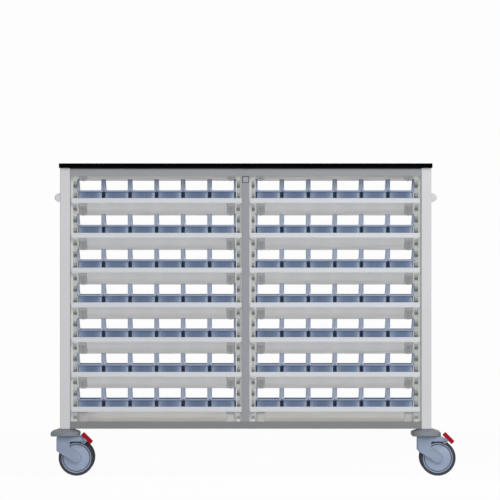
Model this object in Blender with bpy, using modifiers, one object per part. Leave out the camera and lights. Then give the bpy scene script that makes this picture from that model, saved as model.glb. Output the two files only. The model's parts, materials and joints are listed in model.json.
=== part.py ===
"""Two-bay bin cart for a hospital store room, in metres with +Z up and the front facing -Y.

Each bay holds a stack of shelf trays that lean back on slanted runner ribs.
Each tray carries a row of picking bins with low fronts and slides out along its slope.
The frame stands on four swivel casters, and the two front casters have brake pedals.
"""

import math

import bmesh
import bpy
from mathutils import Matrix

# Counts
TRAYS_PER_BAY = 7
BINS_PER_TRAY = 6
RIBS_PER_TRAY = 3

# Clearances
SEAT_GAP = 0.0003
RUN_GAP = 0.0008
PIVOT_GAP = 0.0004
WELD_OVERLAP = 0.001

# Picking bin, along its own axes
BIN_WIDTH = 0.0928
BIN_LENGTH = 0.392
BIN_HEIGHT = 0.085
BIN_FRONT_HEIGHT = 0.041
BIN_WALL = 0.002
BIN_RIM_SIDE = 0.006
BIN_RIM_END = 0.004
BIN_RIM_DEPTH = 0.005
BIN_FRONT_LAND = 0.008
BIN_SLOPE_RUN = 0.030

# Tray, along its own axes
TRAY_TILT = math.radians(6.3)
TRAY_SHEET = 0.003
TRAY_LIP_THICKNESS = 0.012
TRAY_LIP_RISE = 0.013
TRAY_LIP_DROP = 0.005
TRAY_LIP_ROUND = 0.0035
TRAY_LIP_SIDE_GAP = 0.0016
TRAY_LIP_SETBACK = 0.0010
TRAY_UPSTAND = 0.020
TRAY_BIN_PLAY = 0.0007
CHANNEL_WIDTH = 0.030
CHANNEL_DEPTH = 0.008
CHANNEL_INSET = 0.004
CHANNEL_FRONT = 0.026
CHANNEL_REAR = 0.068
CHANNEL_BEVEL = 0.006
PICK_HEADROOM = 0.036

# Cover over the top tray, a sheet and channels like a tray's
COVER_START = 0.046
COVER_TOP_GAP = 0.001

# Runner panel
PANEL_SHEET = 0.003
PANEL_FLANGE_WIDTH = 0.011
PANEL_FLANGE_DEPTH = 0.004
PANEL_END_GAP = 0.002
RIB_REACH = 0.0197
RIB_THICKNESS = 0.003
RIB_END_GAP = 0.012
RIB_TO_BIN = 0.0015

# Frame
POST_SIZE = 0.035
POST_WALL = 0.0025
POST_ROUND = 0.003
RAIL_SIZE = 0.025
RAIL_SETBACK = 0.001
RAIL_DROP = 0.0032
TRAY_REAR_GAP = 0.018
TRAY_FLOOR_GAP = 0.0198
TRAY_TOP_GAP = 0.005
TIE_DROP = 0.003
CAP_SIZE = 0.022
CAP_GROOVE = 0.0015
CAP_GAP = 0.003

# Worktop
WORKTOP_THICKNESS = 0.016
WORKTOP_SIDE_OVERHANG = 0.004
WORKTOP_FRONT_OVERHANG = 0.010
WORKTOP_ROUND = 0.010
WORKTOP_EDGE = 0.002

# Push handle
HANDLE_DIAMETER = 0.031
HANDLE_STAND_OUT = 0.003
HANDLE_BELOW_TOP = 0.104
HANDLE_END_ROUND = 0.005
HANDLE_END_SETBACK = 0.003

# Caster
WHEEL_DIAMETER = 0.125
WHEEL_WIDTH = 0.032
WHEEL_TRAIL = 0.040
TYRE_DEPTH = 0.0097
TREAD_WIDTH = 0.018
TYRE_SHOULDER = 0.004
TYRE_BEAD_INSET = 0.002
HUB_INSET = 0.003
HUB_RING = 0.0075
HUB_GROOVE = 0.0025
HUB_BOSS_RADIUS = 0.014
HUB_BOSS_RISE = 0.003
AXLE_RADIUS = 0.005
ARCH_GAP = 0.0035
ARCH_SIDE_GAP = 0.003
FORK_LEG = 0.006
FORK_CANOPY = 0.0082
FORK_BACK_WALL = 0.004
FORK_KNEE_RISE = 0.0255
FORK_BOSS_RADIUS = 0.018
FORK_EDGE = 0.0015
FORK_SLOT_END = 0.017
FORK_BROW_ANGLE = math.radians(60)
SWIVEL_RADIUS = 0.008
SWIVEL_DEPTH = 0.009
STEM_LENGTH = 0.060
STEM_CLEARANCE = 0.001
BUMPER_RADIUS = 0.051
BUMPER_HEIGHT = 0.0272
BUMPER_RIM = 0.018
BUMPER_ROUND = 0.004
BUMPER_CROWN = 0.020
PEDAL_WIDTH = 0.056
PEDAL_LENGTH = 0.046
PEDAL_THICKNESS = 0.015
PEDAL_END_ROUND = 0.003
PEDAL_TILT = math.radians(45)
PEDAL_STANDOFF = 0.0095
PEDAL_RIM_GAP = 0.0045
PEDAL_EAR_RADIUS = 0.007
PEDAL_PIN_RADIUS = 0.003
PEDAL_BOSS_RADIUS = 0.008

# Facets of round shapes: the wheel's count leaves a flat of the tread on the floor
WHEEL_FACETS = 18
BUMPER_FACETS = 16
ARCH_FACETS = 24
ROD_FACETS = 12
HANDLE_FACETS = 16
CORNER_STEPS = 3
SHARP_ANGLE = math.radians(35)
BEVEL_ANGLE = math.radians(50)
MERGE_DISTANCE = 1e-6

# Places worked out from the sizes above
SLOPE_COS = math.cos(TRAY_TILT)
SLOPE_SIN = math.sin(TRAY_TILT)

BIN_ROW_WIDTH = BINS_PER_TRAY * BIN_WIDTH
BIN_START = TRAY_LIP_THICKNESS + TRAY_BIN_PLAY
TRAY_INNER_END = BIN_START + BIN_LENGTH + SEAT_GAP
TRAY_DEPTH = TRAY_INNER_END + TRAY_SHEET
TRAY_PITCH = (BIN_HEIGHT + PICK_HEADROOM) / SLOPE_COS

BAY_WIDTH = BIN_ROW_WIDTH + 2 * (RIB_REACH + RIB_TO_BIN)
BAY_CENTRE_X = (RAIL_SIZE + BAY_WIDTH) / 2
LIP_WIDTH = BAY_WIDTH - 2 * TRAY_LIP_SIDE_GAP
TRAY_WIDTH = BAY_WIDTH - 2 * (PANEL_FLANGE_WIDTH - PANEL_SHEET + RUN_GAP)
POST_INNER_X = RAIL_SIZE / 2 + BAY_WIDTH + PANEL_SHEET + SEAT_GAP
FRAME_HALF_WIDTH = POST_INNER_X + POST_SIZE

TRAY_RUN = TRAY_DEPTH * SLOPE_COS
FRAME_DEPTH = TRAY_LIP_SETBACK + TRAY_RUN + TRAY_REAR_GAP + RAIL_SIZE + RAIL_SETBACK
TRAY_FRONT_Y = TRAY_LIP_SETBACK - FRAME_DEPTH / 2
RAIL_Y = FRAME_DEPTH / 2 - RAIL_SETBACK - RAIL_SIZE / 2
PANEL_HALF_DEPTH = RAIL_Y - RAIL_SIZE / 2 - SEAT_GAP

WHEEL_RADIUS = WHEEL_DIAMETER / 2
ARCH_RADIUS = WHEEL_RADIUS + ARCH_GAP
ARCH_HALF = WHEEL_WIDTH / 2 + ARCH_SIDE_GAP
FORK_HALF = ARCH_HALF + FORK_LEG
FORK_TOP = WHEEL_DIAMETER + ARCH_GAP + FORK_CANOPY
BUMPER_BOTTOM = FORK_TOP + SEAT_GAP
FRAME_BOTTOM = BUMPER_BOTTOM + BUMPER_HEIGHT + SEAT_GAP

LOWEST_TRAY_Z = FRAME_BOTTOM + TRAY_DEPTH * SLOPE_SIN + TRAY_FLOOR_GAP
HIGHEST_TRAY_Z = LOWEST_TRAY_Z + (TRAYS_PER_BAY - 1) * TRAY_PITCH
TOP_RAIL_Z = HIGHEST_TRAY_Z + BIN_HEIGHT * SLOPE_COS + TRAY_TOP_GAP
FRAME_TOP = TOP_RAIL_Z + RAIL_SIZE + RAIL_DROP
COVER_Z = FRAME_TOP - COVER_TOP_GAP + COVER_START * SLOPE_SIN

POST_X = FRAME_HALF_WIDTH - POST_SIZE / 2
POST_Y = (FRAME_DEPTH - POST_SIZE) / 2
STEM_RADIUS = POST_SIZE / 2 - POST_WALL - STEM_CLEARANCE
TYRE_WIDEN = 1 / math.cos(math.pi / WHEEL_FACETS)
PEDAL_PIN_X = BUMPER_RADIUS + PEDAL_RIM_GAP + (
    PEDAL_LENGTH / 2 * math.cos(PEDAL_TILT) - PEDAL_STANDOFF * math.sin(PEDAL_TILT)
)
PEDAL_PIN_Z = WHEEL_RADIUS + math.sqrt(WHEEL_RADIUS**2 - (PEDAL_PIN_X - WHEEL_TRAIL) ** 2)

# The casters trail to +X, so the frame stands a little to -X to centre the whole cart on the origin
CART_OFFSET_X = -(WHEEL_TRAIL + WHEEL_RADIUS * TYRE_WIDEN - BUMPER_RADIUS) / 2

# A flat outline's own axes: tray sections run along Y and Z, caster sections along X and Z
TRAY_SECTION = Matrix(((0, 0, 1, 0), (1, 0, 0, 0), (0, 1, 0, 0), (0, 0, 0, 1)))
CASTER_SECTION = Matrix.Rotation(math.pi / 2, 4, "X")
FLAT_SECTION = Matrix.Identity(4)

for leftover in list(bpy.data.objects):
    bpy.data.objects.remove(leftover)

cart = bpy.data.collections.new("bin_cart")
cutters = bpy.data.collections.new("bin_cart_cutters")
bpy.context.scene.collection.children.link(cart)
bpy.context.scene.collection.children.link(cutters)


def finish(name, colour, roughness, metallic=0.0):
    """A plain material from its colour, roughness and metallic value."""
    material = bpy.data.materials.new(name)
    material.use_nodes = True
    shader = material.node_tree.nodes["Principled BSDF"]
    shader.inputs["Base Color"].default_value = (*colour, 1.0)
    shader.inputs["Roughness"].default_value = roughness
    shader.inputs["Metallic"].default_value = metallic
    return material


BLACK_LAMINATE = finish("black_laminate", (0.006, 0.006, 0.008), 0.35)
PALE_PAINT = finish("pale_painted_metal", (0.60, 0.60, 0.62), 0.45)
GREY_PAINT = finish("grey_painted_metal", (0.27, 0.28, 0.30), 0.45)
PALE_PLASTIC = finish("pale_moulded_plastic", (0.50, 0.52, 0.49), 0.5)
TRAY_PLASTIC = finish("tray_plastic", (0.60, 0.62, 0.65), 0.45)
BLUE_PLASTIC = finish("blue_bin_plastic", (0.19, 0.23, 0.36), 0.35)
BUMPER_PLASTIC = finish("grey_bumper_plastic", (0.22, 0.23, 0.24), 0.6)
CASTER_PLASTIC = finish("caster_grey_plastic", (0.30, 0.33, 0.40), 0.5)
TYRE_RUBBER = finish("tyre_rubber", (0.035, 0.037, 0.045), 0.75)
PEDAL_PLASTIC = finish("red_pedal_plastic", (0.45, 0.01, 0.03), 0.4)


def scratch(data):
    """A hidden helper object, evaluated for its shape and then removed."""
    helper = bpy.data.objects.new("helper", data)
    helper.hide_render = True
    helper.display_type = "WIRE"
    cutters.objects.link(helper)
    return helper


def shape_of(helper):
    """The helper's evaluated mesh, with doubles merged and its faces pointing out."""
    graph = bpy.context.evaluated_depsgraph_get()
    mesh = bpy.data.meshes.new_from_object(helper.evaluated_get(graph))
    bpy.data.objects.remove(helper)
    shape = bmesh.new()
    shape.from_mesh(mesh)
    bmesh.ops.remove_doubles(shape, verts=shape.verts, dist=MERGE_DISTANCE)
    bmesh.ops.recalc_face_normals(shape, faces=shape.faces)
    shape.to_mesh(mesh)
    shape.free()
    return mesh


def block(low, high):
    """A box between two corners."""
    size = [b - a for a, b in zip(low, high)]
    centre = [(a + b) / 2 for a, b in zip(low, high)]
    shape = bmesh.new()
    bmesh.ops.create_cube(shape, matrix=Matrix.LocRotScale(centre, None, size))
    mesh = bpy.data.meshes.new("block")
    shape.to_mesh(mesh)
    shape.free()
    return mesh


def rod(radius, low, high, x, z, facets=ROD_FACETS):
    """A round bar along Y from low to high, at a height and place across the caster."""
    turn = Matrix.Rotation(math.pi / 2, 4, "X")
    shape = bmesh.new()
    bmesh.ops.create_cone(
        shape,
        cap_ends=True,
        segments=facets,
        radius1=radius,
        radius2=radius,
        depth=high - low,
        matrix=Matrix.Translation((x, (low + high) / 2, z)) @ turn,
    )
    mesh = bpy.data.meshes.new("rod")
    shape.to_mesh(mesh)
    shape.free()
    return mesh


def prism(outline, thickness, section, shift=(0, 0, 0)):
    """A flat outline, thickened evenly to both sides and laid in the given section."""
    curve = bpy.data.curves.new("outline", "CURVE")
    curve.dimensions = "2D"
    curve.fill_mode = "BOTH"
    curve.extrude = thickness / 2
    spline = curve.splines.new("POLY")
    spline.points.add(len(outline) - 1)
    for point, (across, up) in zip(spline.points, outline):
        point.co = (across, up, 0, 1)
    spline.use_cyclic_u = True
    mesh = shape_of(scratch(curve))
    mesh.transform(Matrix.Translation(shift) @ section)
    return mesh


def turned(profile, facets, closed=False):
    """A profile of (radius, height) points turned about Z."""
    count = len(profile)
    edges = [(i, i + 1) for i in range(count - 1)]
    if closed:
        edges.append((count - 1, 0))
    mesh = bpy.data.meshes.new("profile")
    mesh.from_pydata([(radius, 0, height) for radius, height in profile], edges, [])
    helper = scratch(mesh)
    screw = helper.modifiers.new("turn", "SCREW")
    screw.steps = facets
    screw.render_steps = facets
    screw.use_merge_vertices = True
    screw.merge_threshold = MERGE_DISTANCE
    return shape_of(helper)


def combine(mesh, tools, operation):
    """Join a mesh with each tool in turn, or cut each tool out of it."""
    helper = scratch(mesh)
    used = []
    for tool in tools:
        used.append(scratch(tool))
        step = helper.modifiers.new("combine", "BOOLEAN")
        step.operation = operation
        step.object = used[-1]
    result = shape_of(helper)
    for tool in used:
        bpy.data.objects.remove(tool)
    return result


def bevelled(mesh, width, segments=1):
    """The mesh with its sharp edges eased."""
    helper = scratch(mesh)
    bevel = helper.modifiers.new("edge", "BEVEL")
    bevel.width = width
    bevel.segments = segments
    bevel.limit_method = "ANGLE"
    bevel.angle_limit = BEVEL_ANGLE
    return shape_of(helper)


def arc(centre, radius, start, end, steps):
    """Points on an arc, with angles in radians."""
    angles = [start + (end - start) * i / steps for i in range(steps + 1)]
    return [(centre[0] + radius * math.cos(a), centre[1] + radius * math.sin(a)) for a in angles]


def rounded(low, high, radius, steps=CORNER_STEPS):
    """A rectangle with round corners."""
    inner = [(low[0] + radius, low[1] + radius), (high[0] - radius, high[1] - radius)]
    corners = [(inner[1][0], inner[1][1]), (inner[0][0], inner[1][1]), inner[0], (inner[1][0], inner[0][1])]
    points = []
    for quarter, corner in enumerate(corners):
        start = quarter * math.pi / 2
        points += arc(corner, radius, start, start + math.pi / 2, steps)
    return points


def tilted(points, angle):
    """Points of a section turned about its origin."""
    c, s = math.cos(angle), math.sin(angle)
    return [(c * x - s * y, s * x + c * y) for x, y in points]


def holder(name, parent=None, place=(0, 0, 0), tilt=0.0):
    """An empty that carries other pieces."""
    empty = bpy.data.objects.new(name, None)
    empty.parent = parent
    empty.location = place
    empty.rotation_euler = (tilt, 0, 0)
    cart.objects.link(empty)
    return empty


def part(name, mesh, material, parent, place=(0, 0, 0), turn=0.0, smooth=False):
    """A named piece of the cart."""
    if not mesh.materials:
        mesh.materials.append(material)
    mesh.materials[0] = material
    if smooth:
        mesh.shade_smooth()
        mesh.set_sharp_from_angle(angle=SHARP_ANGLE)
    piece = bpy.data.objects.new(name, mesh)
    piece.parent = parent
    piece.location = place
    piece.rotation_euler = (0, 0, turn)
    cart.objects.link(piece)
    return piece


def worktop_mesh():
    """A thin slab with round corners and eased edges, resting on the posts."""
    x = FRAME_HALF_WIDTH + WORKTOP_SIDE_OVERHANG
    y = FRAME_DEPTH / 2 + WORKTOP_FRONT_OVERHANG
    slab = prism(rounded((-x, -y), (x, y), WORKTOP_ROUND), WORKTOP_THICKNESS, FLAT_SECTION)
    return bevelled(slab, WORKTOP_EDGE)


def end_frame_mesh():
    """Left end: two round-edged posts, hollow at the foot for a stem, with two cross rails."""
    half = POST_SIZE / 2
    height = FRAME_TOP - FRAME_BOTTOM
    outline = rounded((-half, -half), (half, half), POST_ROUND)
    middle = (FRAME_TOP + FRAME_BOTTOM) / 2
    posts = [prism(outline, height, FLAT_SECTION, (-POST_X, y, middle)) for y in (-POST_Y, POST_Y)]
    reach = POST_Y - half + WELD_OVERLAP
    rails = []
    for bottom in (FRAME_BOTTOM, FRAME_TOP - RAIL_SIZE):
        low = (-POST_X - RAIL_SIZE / 2, -reach, bottom + SEAT_GAP)
        high = (-POST_X + RAIL_SIZE / 2, reach, bottom + RAIL_SIZE - SEAT_GAP)
        rails.append(block(low, high))
    frame = combine(posts[0], [*rails, posts[1]], "UNION")
    bore = half - POST_WALL
    sockets = []
    for y in (-POST_Y, POST_Y):
        low = (-POST_X - bore, y - bore, FRAME_BOTTOM - STEM_CLEARANCE)
        high = (-POST_X + bore, y + bore, FRAME_BOTTOM + STEM_LENGTH + STEM_CLEARANCE)
        sockets.append(block(low, high))
    return combine(frame, sockets, "DIFFERENCE")


def front_frame_mesh():
    """Top rail, bottom rail and centre post, with a square fastening cap at the post's head."""
    half = RAIL_SIZE / 2
    span = POST_INNER_X - SEAT_GAP
    front = -RAIL_Y - half
    back = -RAIL_Y + half
    top = block((-span, front, TOP_RAIL_Z), (span, back, TOP_RAIL_Z + RAIL_SIZE))
    bottom = block((-span, front, FRAME_BOTTOM), (span, back, FRAME_BOTTOM + RAIL_SIZE))
    low = FRAME_BOTTOM + RAIL_SIZE - WELD_OVERLAP
    post = block((-half, front, low), (half, back, TOP_RAIL_Z + WELD_OVERLAP))
    frame = combine(top, [post, bottom], "UNION")
    cap = CAP_SIZE / 2
    cap_z = TOP_RAIL_Z - CAP_GAP - cap
    recess = block((-cap, front - CAP_GROOVE, cap_z - cap), (cap, front + CAP_GROOVE, cap_z + cap))
    face = cap - CAP_GROOVE
    pad = block((-face, front, cap_z - face), (face, front + 2 * CAP_GROOVE, cap_z + face))
    return combine(combine(frame, [recess], "DIFFERENCE"), [pad], "UNION")


def rear_frame_mesh():
    """The front frame again, with two ties that reach the other centre post between the inner panels."""
    half = RAIL_SIZE / 2 - PANEL_SHEET - SEAT_GAP
    near = -RAIL_Y + RAIL_SIZE / 2 - WELD_OVERLAP
    ties = []
    for bottom in (FRAME_BOTTOM + TIE_DROP, TOP_RAIL_Z - TIE_DROP - RAIL_SIZE):
        ties.append(block((-half, near, bottom), (half, PANEL_HALF_DEPTH, bottom + RAIL_SIZE)))
    return combine(front_frame_mesh(), ties, "UNION")


def runner_panel_mesh(side):
    """A moulded sheet with slanted ribs that reach into the bay, to +X where side is 1.

    Its inner face is at x = 0.  The lowest rib of each tray's three carries the tray's edge, and
    one more rib carries the cover.  The rear flange is as wide as the ribs.
    """
    deep = PANEL_HALF_DEPTH
    low_z = FRAME_BOTTOM + PANEL_END_GAP
    high_z = FRAME_TOP - PANEL_END_GAP
    flange = PANEL_FLANGE_WIDTH - PANEL_SHEET
    sheet = block((-PANEL_SHEET, -deep, low_z), (0, deep, high_z))
    front = block((-PANEL_SHEET, -deep, low_z), (flange, -deep + PANEL_FLANGE_DEPTH, high_z))
    rear = block((-PANEL_SHEET, deep - PANEL_FLANGE_DEPTH, low_z), (RIB_REACH, deep, high_z))
    ribs = []
    length = 2 * (deep - RIB_END_GAP) / SLOPE_COS
    below = TRAY_SHEET + SEAT_GAP + RIB_THICKNESS / 2
    middle = TRAY_FRONT_Y * math.tan(TRAY_TILT) - below / SLOPE_COS
    steps = range(RIBS_PER_TRAY * TRAYS_PER_BAY)
    heights = [LOWEST_TRAY_Z + step * TRAY_PITCH / RIBS_PER_TRAY for step in steps]
    for height in [*heights, COVER_Z]:
        rib = block(
            (-PANEL_SHEET / 2, -length / 2, -RIB_THICKNESS / 2),
            (RIB_REACH, length / 2, RIB_THICKNESS / 2),
        )
        rib.transform(Matrix.Translation((0, 0, height + middle)) @ Matrix.Rotation(-TRAY_TILT, 4, "X"))
        ribs.append(rib)
    panel = combine(sheet, [front, rear, *ribs], "UNION")
    panel.transform(Matrix.Diagonal((side, 1, 1, 1)))
    if side < 0:
        panel.flip_normals()
    return panel


def handle_mesh():
    """A round bar along the left end, with its ends cut flat where they lie on the posts."""
    radius = HANDLE_DIAMETER / 2
    half = FRAME_DEPTH / 2 - HANDLE_END_SETBACK
    crown = arc((radius - HANDLE_END_ROUND, half - HANDLE_END_ROUND), HANDLE_END_ROUND, math.pi / 2, 0, 2)
    foot = [(r, -z) for r, z in reversed(crown)]
    bar = turned([(0, half), *crown, *foot, (0, -half)], HANDLE_FACETS)
    bar.transform(Matrix.Rotation(math.pi / 2, 4, "X"))
    face = HANDLE_STAND_OUT - SEAT_GAP
    inner_y = POST_Y - POST_SIZE / 2 - SEAT_GAP
    notches = []
    for near, far in ((-half - radius, -inner_y), (inner_y, half + radius)):
        notches.append(block((face, near, -HANDLE_DIAMETER), (HANDLE_DIAMETER, far, HANDLE_DIAMETER)))
    return combine(bar, notches, "DIFFERENCE")


def channel_bars(front):
    """Two stiffening channels below a tray's sheet, which start at a distance from the lip's front."""
    low = -TRAY_SHEET - CHANNEL_DEPTH
    rear = TRAY_DEPTH - CHANNEL_REAR
    section = [
        (front, -TRAY_SHEET / 2),
        (front, low + CHANNEL_BEVEL),
        (front + CHANNEL_BEVEL, low),
        (rear - CHANNEL_BEVEL, low),
        (rear, low + CHANNEL_BEVEL),
        (rear, -TRAY_SHEET / 2),
    ]
    across = BIN_ROW_WIDTH / 2 - CHANNEL_INSET - CHANNEL_WIDTH / 2
    return [prism(section, CHANNEL_WIDTH, TRAY_SECTION, (x, 0, 0)) for x in (-across, across)]


def tray_mesh():
    """A sheet with a round-edged front lip, a rear upstand and two stiffening channels below."""
    lip_low = (0, -TRAY_LIP_DROP)
    lip_high = (TRAY_LIP_THICKNESS, TRAY_LIP_RISE)
    lip = prism(rounded(lip_low, lip_high, TRAY_LIP_ROUND, 2), LIP_WIDTH, TRAY_SECTION)
    start = TRAY_LIP_THICKNESS - TRAY_LIP_ROUND
    floor = [
        (start, -TRAY_SHEET),
        (TRAY_DEPTH, -TRAY_SHEET),
        (TRAY_DEPTH, TRAY_UPSTAND),
        (TRAY_INNER_END, TRAY_UPSTAND),
        (TRAY_INNER_END, 0),
        (start, 0),
    ]
    sheet = prism(floor, TRAY_WIDTH, TRAY_SECTION)
    return combine(lip, [sheet, *channel_bars(CHANNEL_FRONT)], "UNION")


def cover_mesh():
    """A fixed sheet like a tray's, with its channels but no lip, which closes a bay below the worktop."""
    floor = [(COVER_START, -TRAY_SHEET), (TRAY_DEPTH, -TRAY_SHEET), (TRAY_DEPTH, 0), (COVER_START, 0)]
    sheet = prism(floor, TRAY_WIDTH, TRAY_SECTION)
    return combine(sheet, channel_bars(COVER_START + CHANNEL_FRONT), "UNION")


def bin_row_mesh():
    """A row of open bins, joined where their side rims and their wide backs meet.

    Along a bin's side the rim runs back over the low front, up the slope, along the top and down
    the back.
    """
    rise = BIN_HEIGHT - BIN_FRONT_HEIGHT
    slope_top = BIN_FRONT_LAND + BIN_SLOPE_RUN
    lean = BIN_RIM_DEPTH * math.tan(math.atan2(rise, BIN_SLOPE_RUN) / 2)
    front = BIN_FRONT_HEIGHT - BIN_RIM_DEPTH
    top = BIN_HEIGHT - BIN_RIM_DEPTH
    near, far = BIN_RIM_END, BIN_LENGTH - BIN_RIM_END
    rim = [
        (0, front),
        (0, BIN_FRONT_HEIGHT),
        (BIN_FRONT_LAND, BIN_FRONT_HEIGHT),
        (slope_top, BIN_HEIGHT),
        (BIN_LENGTH, BIN_HEIGHT),
        (BIN_LENGTH, top),
        (slope_top + lean, top),
        (BIN_FRONT_LAND + lean, front),
    ]
    inside = BIN_RIM_DEPTH / 2
    half = BIN_ROW_WIDTH / 2
    back = block((-half, far - BIN_WALL, 0), (half, far, top + inside))
    body = [
        (near, 0),
        (near, front + inside),
        (BIN_FRONT_LAND + lean / 2, front + inside),
        (slope_top + lean / 2, top + inside),
        (far, top + inside),
        (far, 0),
    ]
    body_width = BIN_WIDTH - 2 * BIN_RIM_SIDE
    hollow = body_width / 2 - BIN_WALL
    bodies = [back]
    hollows = []
    for place in range(BINS_PER_TRAY):
        x = (place - (BINS_PER_TRAY - 1) / 2) * BIN_WIDTH
        bodies.append(prism(body, body_width, TRAY_SECTION, (x, 0, 0)))
        low = (x - hollow, near + BIN_WALL, BIN_WALL)
        high = (x + hollow, far - BIN_WALL, 2 * BIN_HEIGHT)
        hollows.append(block(low, high))
    row = combine(prism(rim, BIN_ROW_WIDTH, TRAY_SECTION), bodies, "UNION")
    return combine(row, hollows, "DIFFERENCE")


def bumper_mesh():
    """A hat-shaped disc under the post, with its stem above and the swivel pivot below."""
    rim = BUMPER_RADIUS - BUMPER_ROUND
    top = BUMPER_BOTTOM + BUMPER_HEIGHT
    shoulder = BUMPER_BOTTOM + BUMPER_RIM - BUMPER_ROUND
    upper = arc((rim, shoulder), BUMPER_ROUND, math.pi / 2, 0, 2)
    lower = arc((rim, BUMPER_BOTTOM + BUMPER_ROUND), BUMPER_ROUND, 0, -math.pi / 2, 1)
    stem_top = top + STEM_LENGTH
    pivot = BUMPER_BOTTOM - SWIVEL_DEPTH
    profile = [(0, stem_top), (STEM_RADIUS, stem_top), (STEM_RADIUS, top), (BUMPER_CROWN, top)]
    profile += [*upper, *lower, (SWIVEL_RADIUS, BUMPER_BOTTOM), (SWIVEL_RADIUS, pivot), (0, pivot)]
    return turned(profile, BUMPER_FACETS)


def fork_mesh(braked):
    """A housing that arches over the wheel, with a slanted leg on each side down to the axle.

    Seen from the side, the back edge drops from the top to a knee and then runs straight to the
    axle's boss, and a ledge reaches forward over a slot to a small round boss.
    """
    axle = (WHEEL_TRAIL, WHEEL_RADIUS)
    back = WHEEL_TRAIL - ARCH_RADIUS - FORK_BACK_WALL
    knee = (back, WHEEL_RADIUS + FORK_KNEE_RISE)
    to_axle = (axle[0] - knee[0], axle[1] - knee[1])
    slant = math.atan2(to_axle[1], to_axle[0]) - math.asin(FORK_BOSS_RADIUS / math.hypot(*to_axle))
    boss = arc(axle, FORK_BOSS_RADIUS, slant - math.pi / 2, slant + math.pi / 2, 6)
    ledge = PEDAL_PIN_Z - PEDAL_BOSS_RADIUS
    slot_foot = boss[-1][1] + (FORK_SLOT_END - boss[-1][0]) * math.tan(slant)
    slot = [(FORK_SLOT_END, slot_foot), (FORK_SLOT_END, ledge)]
    pin = (PEDAL_PIN_X, PEDAL_PIN_Z)
    nose = arc(pin, PEDAL_BOSS_RADIUS, -math.pi / 2, FORK_BROW_ANGLE, 4)
    brow = (nose[-1][0] - (FORK_TOP - nose[-1][1]) * math.tan(FORK_BROW_ANGLE), FORK_TOP)
    outline = [(back, FORK_TOP), knee, *boss, *slot, *nose, brow]
    fork = bevelled(prism(outline, 2 * FORK_HALF, CASTER_SECTION), FORK_EDGE)
    arch = rod(ARCH_RADIUS, -ARCH_HALF, ARCH_HALF, *axle, ARCH_FACETS)
    pivot = turned(
        [
            (0, FORK_TOP + SWIVEL_DEPTH),
            (SWIVEL_RADIUS + PIVOT_GAP, FORK_TOP + SWIVEL_DEPTH),
            (SWIVEL_RADIUS + PIVOT_GAP, FORK_TOP - SWIVEL_DEPTH),
            (0, FORK_TOP - SWIVEL_DEPTH),
        ],
        ROD_FACETS,
    )
    fork = combine(fork, [arch, pivot], "DIFFERENCE")
    pins = [rod(AXLE_RADIUS, -ARCH_HALF - WELD_OVERLAP, ARCH_HALF + WELD_OVERLAP, *axle)]
    if braked:
        reach = PEDAL_WIDTH / 2
        root = FORK_HALF - FORK_LEG / 2
        pins += [rod(PEDAL_PIN_RADIUS, near, far, *pin) for near, far in ((-reach, -root), (root, reach))]
    return combine(fork, pins, "UNION")


def hub_mesh():
    """A wheel centre with a raised rim ring, a groove, a slightly coned disc and an axle boss."""
    outer = WHEEL_RADIUS - TYRE_DEPTH - SEAT_GAP
    face = WHEEL_WIDTH / 2 - HUB_INSET
    ring = outer - HUB_RING
    disc = ring - HUB_GROOVE
    half = [
        (AXLE_RADIUS + PIVOT_GAP, face + HUB_BOSS_RISE),
        (HUB_BOSS_RADIUS, face + HUB_BOSS_RISE),
        (disc, face),
        ((disc + ring) / 2, face - HUB_GROOVE),
        (ring, face),
        (outer, face),
    ]
    mirrored = [(radius, -height) for radius, height in reversed(half)]
    mesh = turned(half + mirrored, WHEEL_FACETS, closed=True)
    mesh.transform(CASTER_SECTION)
    return mesh


def tyre_mesh():
    """A solid ring tyre with a flat tread and sloped shoulders."""
    side = WHEEL_WIDTH / 2
    half = [
        (WHEEL_RADIUS - TYRE_DEPTH, side - TYRE_BEAD_INSET),
        ((WHEEL_RADIUS - TYRE_SHOULDER) * TYRE_WIDEN, side),
        (WHEEL_RADIUS * TYRE_WIDEN, TREAD_WIDTH / 2),
    ]
    mirrored = [(radius, -height) for radius, height in reversed(half)]
    mesh = turned(half + mirrored, WHEEL_FACETS, closed=True)
    mesh.transform(CASTER_SECTION)
    return mesh


def pedal_mesh():
    """A slanted foot bar with an ear at each side that hangs on the fork's hinge pins."""
    reach = PEDAL_LENGTH / 2
    bar_top = PEDAL_STANDOFF + PEDAL_THICKNESS
    middle = PEDAL_STANDOFF + PEDAL_THICKNESS / 2
    bar = rounded((-reach, PEDAL_STANDOFF), (reach, bar_top), PEDAL_END_ROUND)
    ear = [(PEDAL_EAR_RADIUS, middle), (-PEDAL_EAR_RADIUS, middle)]
    ear += arc((0, 0), PEDAL_EAR_RADIUS, math.pi, 2 * math.pi, 4)
    mesh = prism(tilted(bar, -PEDAL_TILT), PEDAL_WIDTH, CASTER_SECTION)
    inner = FORK_HALF + SEAT_GAP
    thickness = PEDAL_WIDTH / 2 - inner
    ears = []
    for side in (-1, 1):
        shift = (0, side * (inner + thickness / 2), 0)
        ears.append(prism(tilted(ear, -PEDAL_TILT), thickness - SEAT_GAP, CASTER_SECTION, shift))
    hole = rod(PEDAL_PIN_RADIUS + PIVOT_GAP, -PEDAL_WIDTH, PEDAL_WIDTH, 0, 0)
    return combine(combine(mesh, ears, "UNION"), [hole], "DIFFERENCE")


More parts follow.
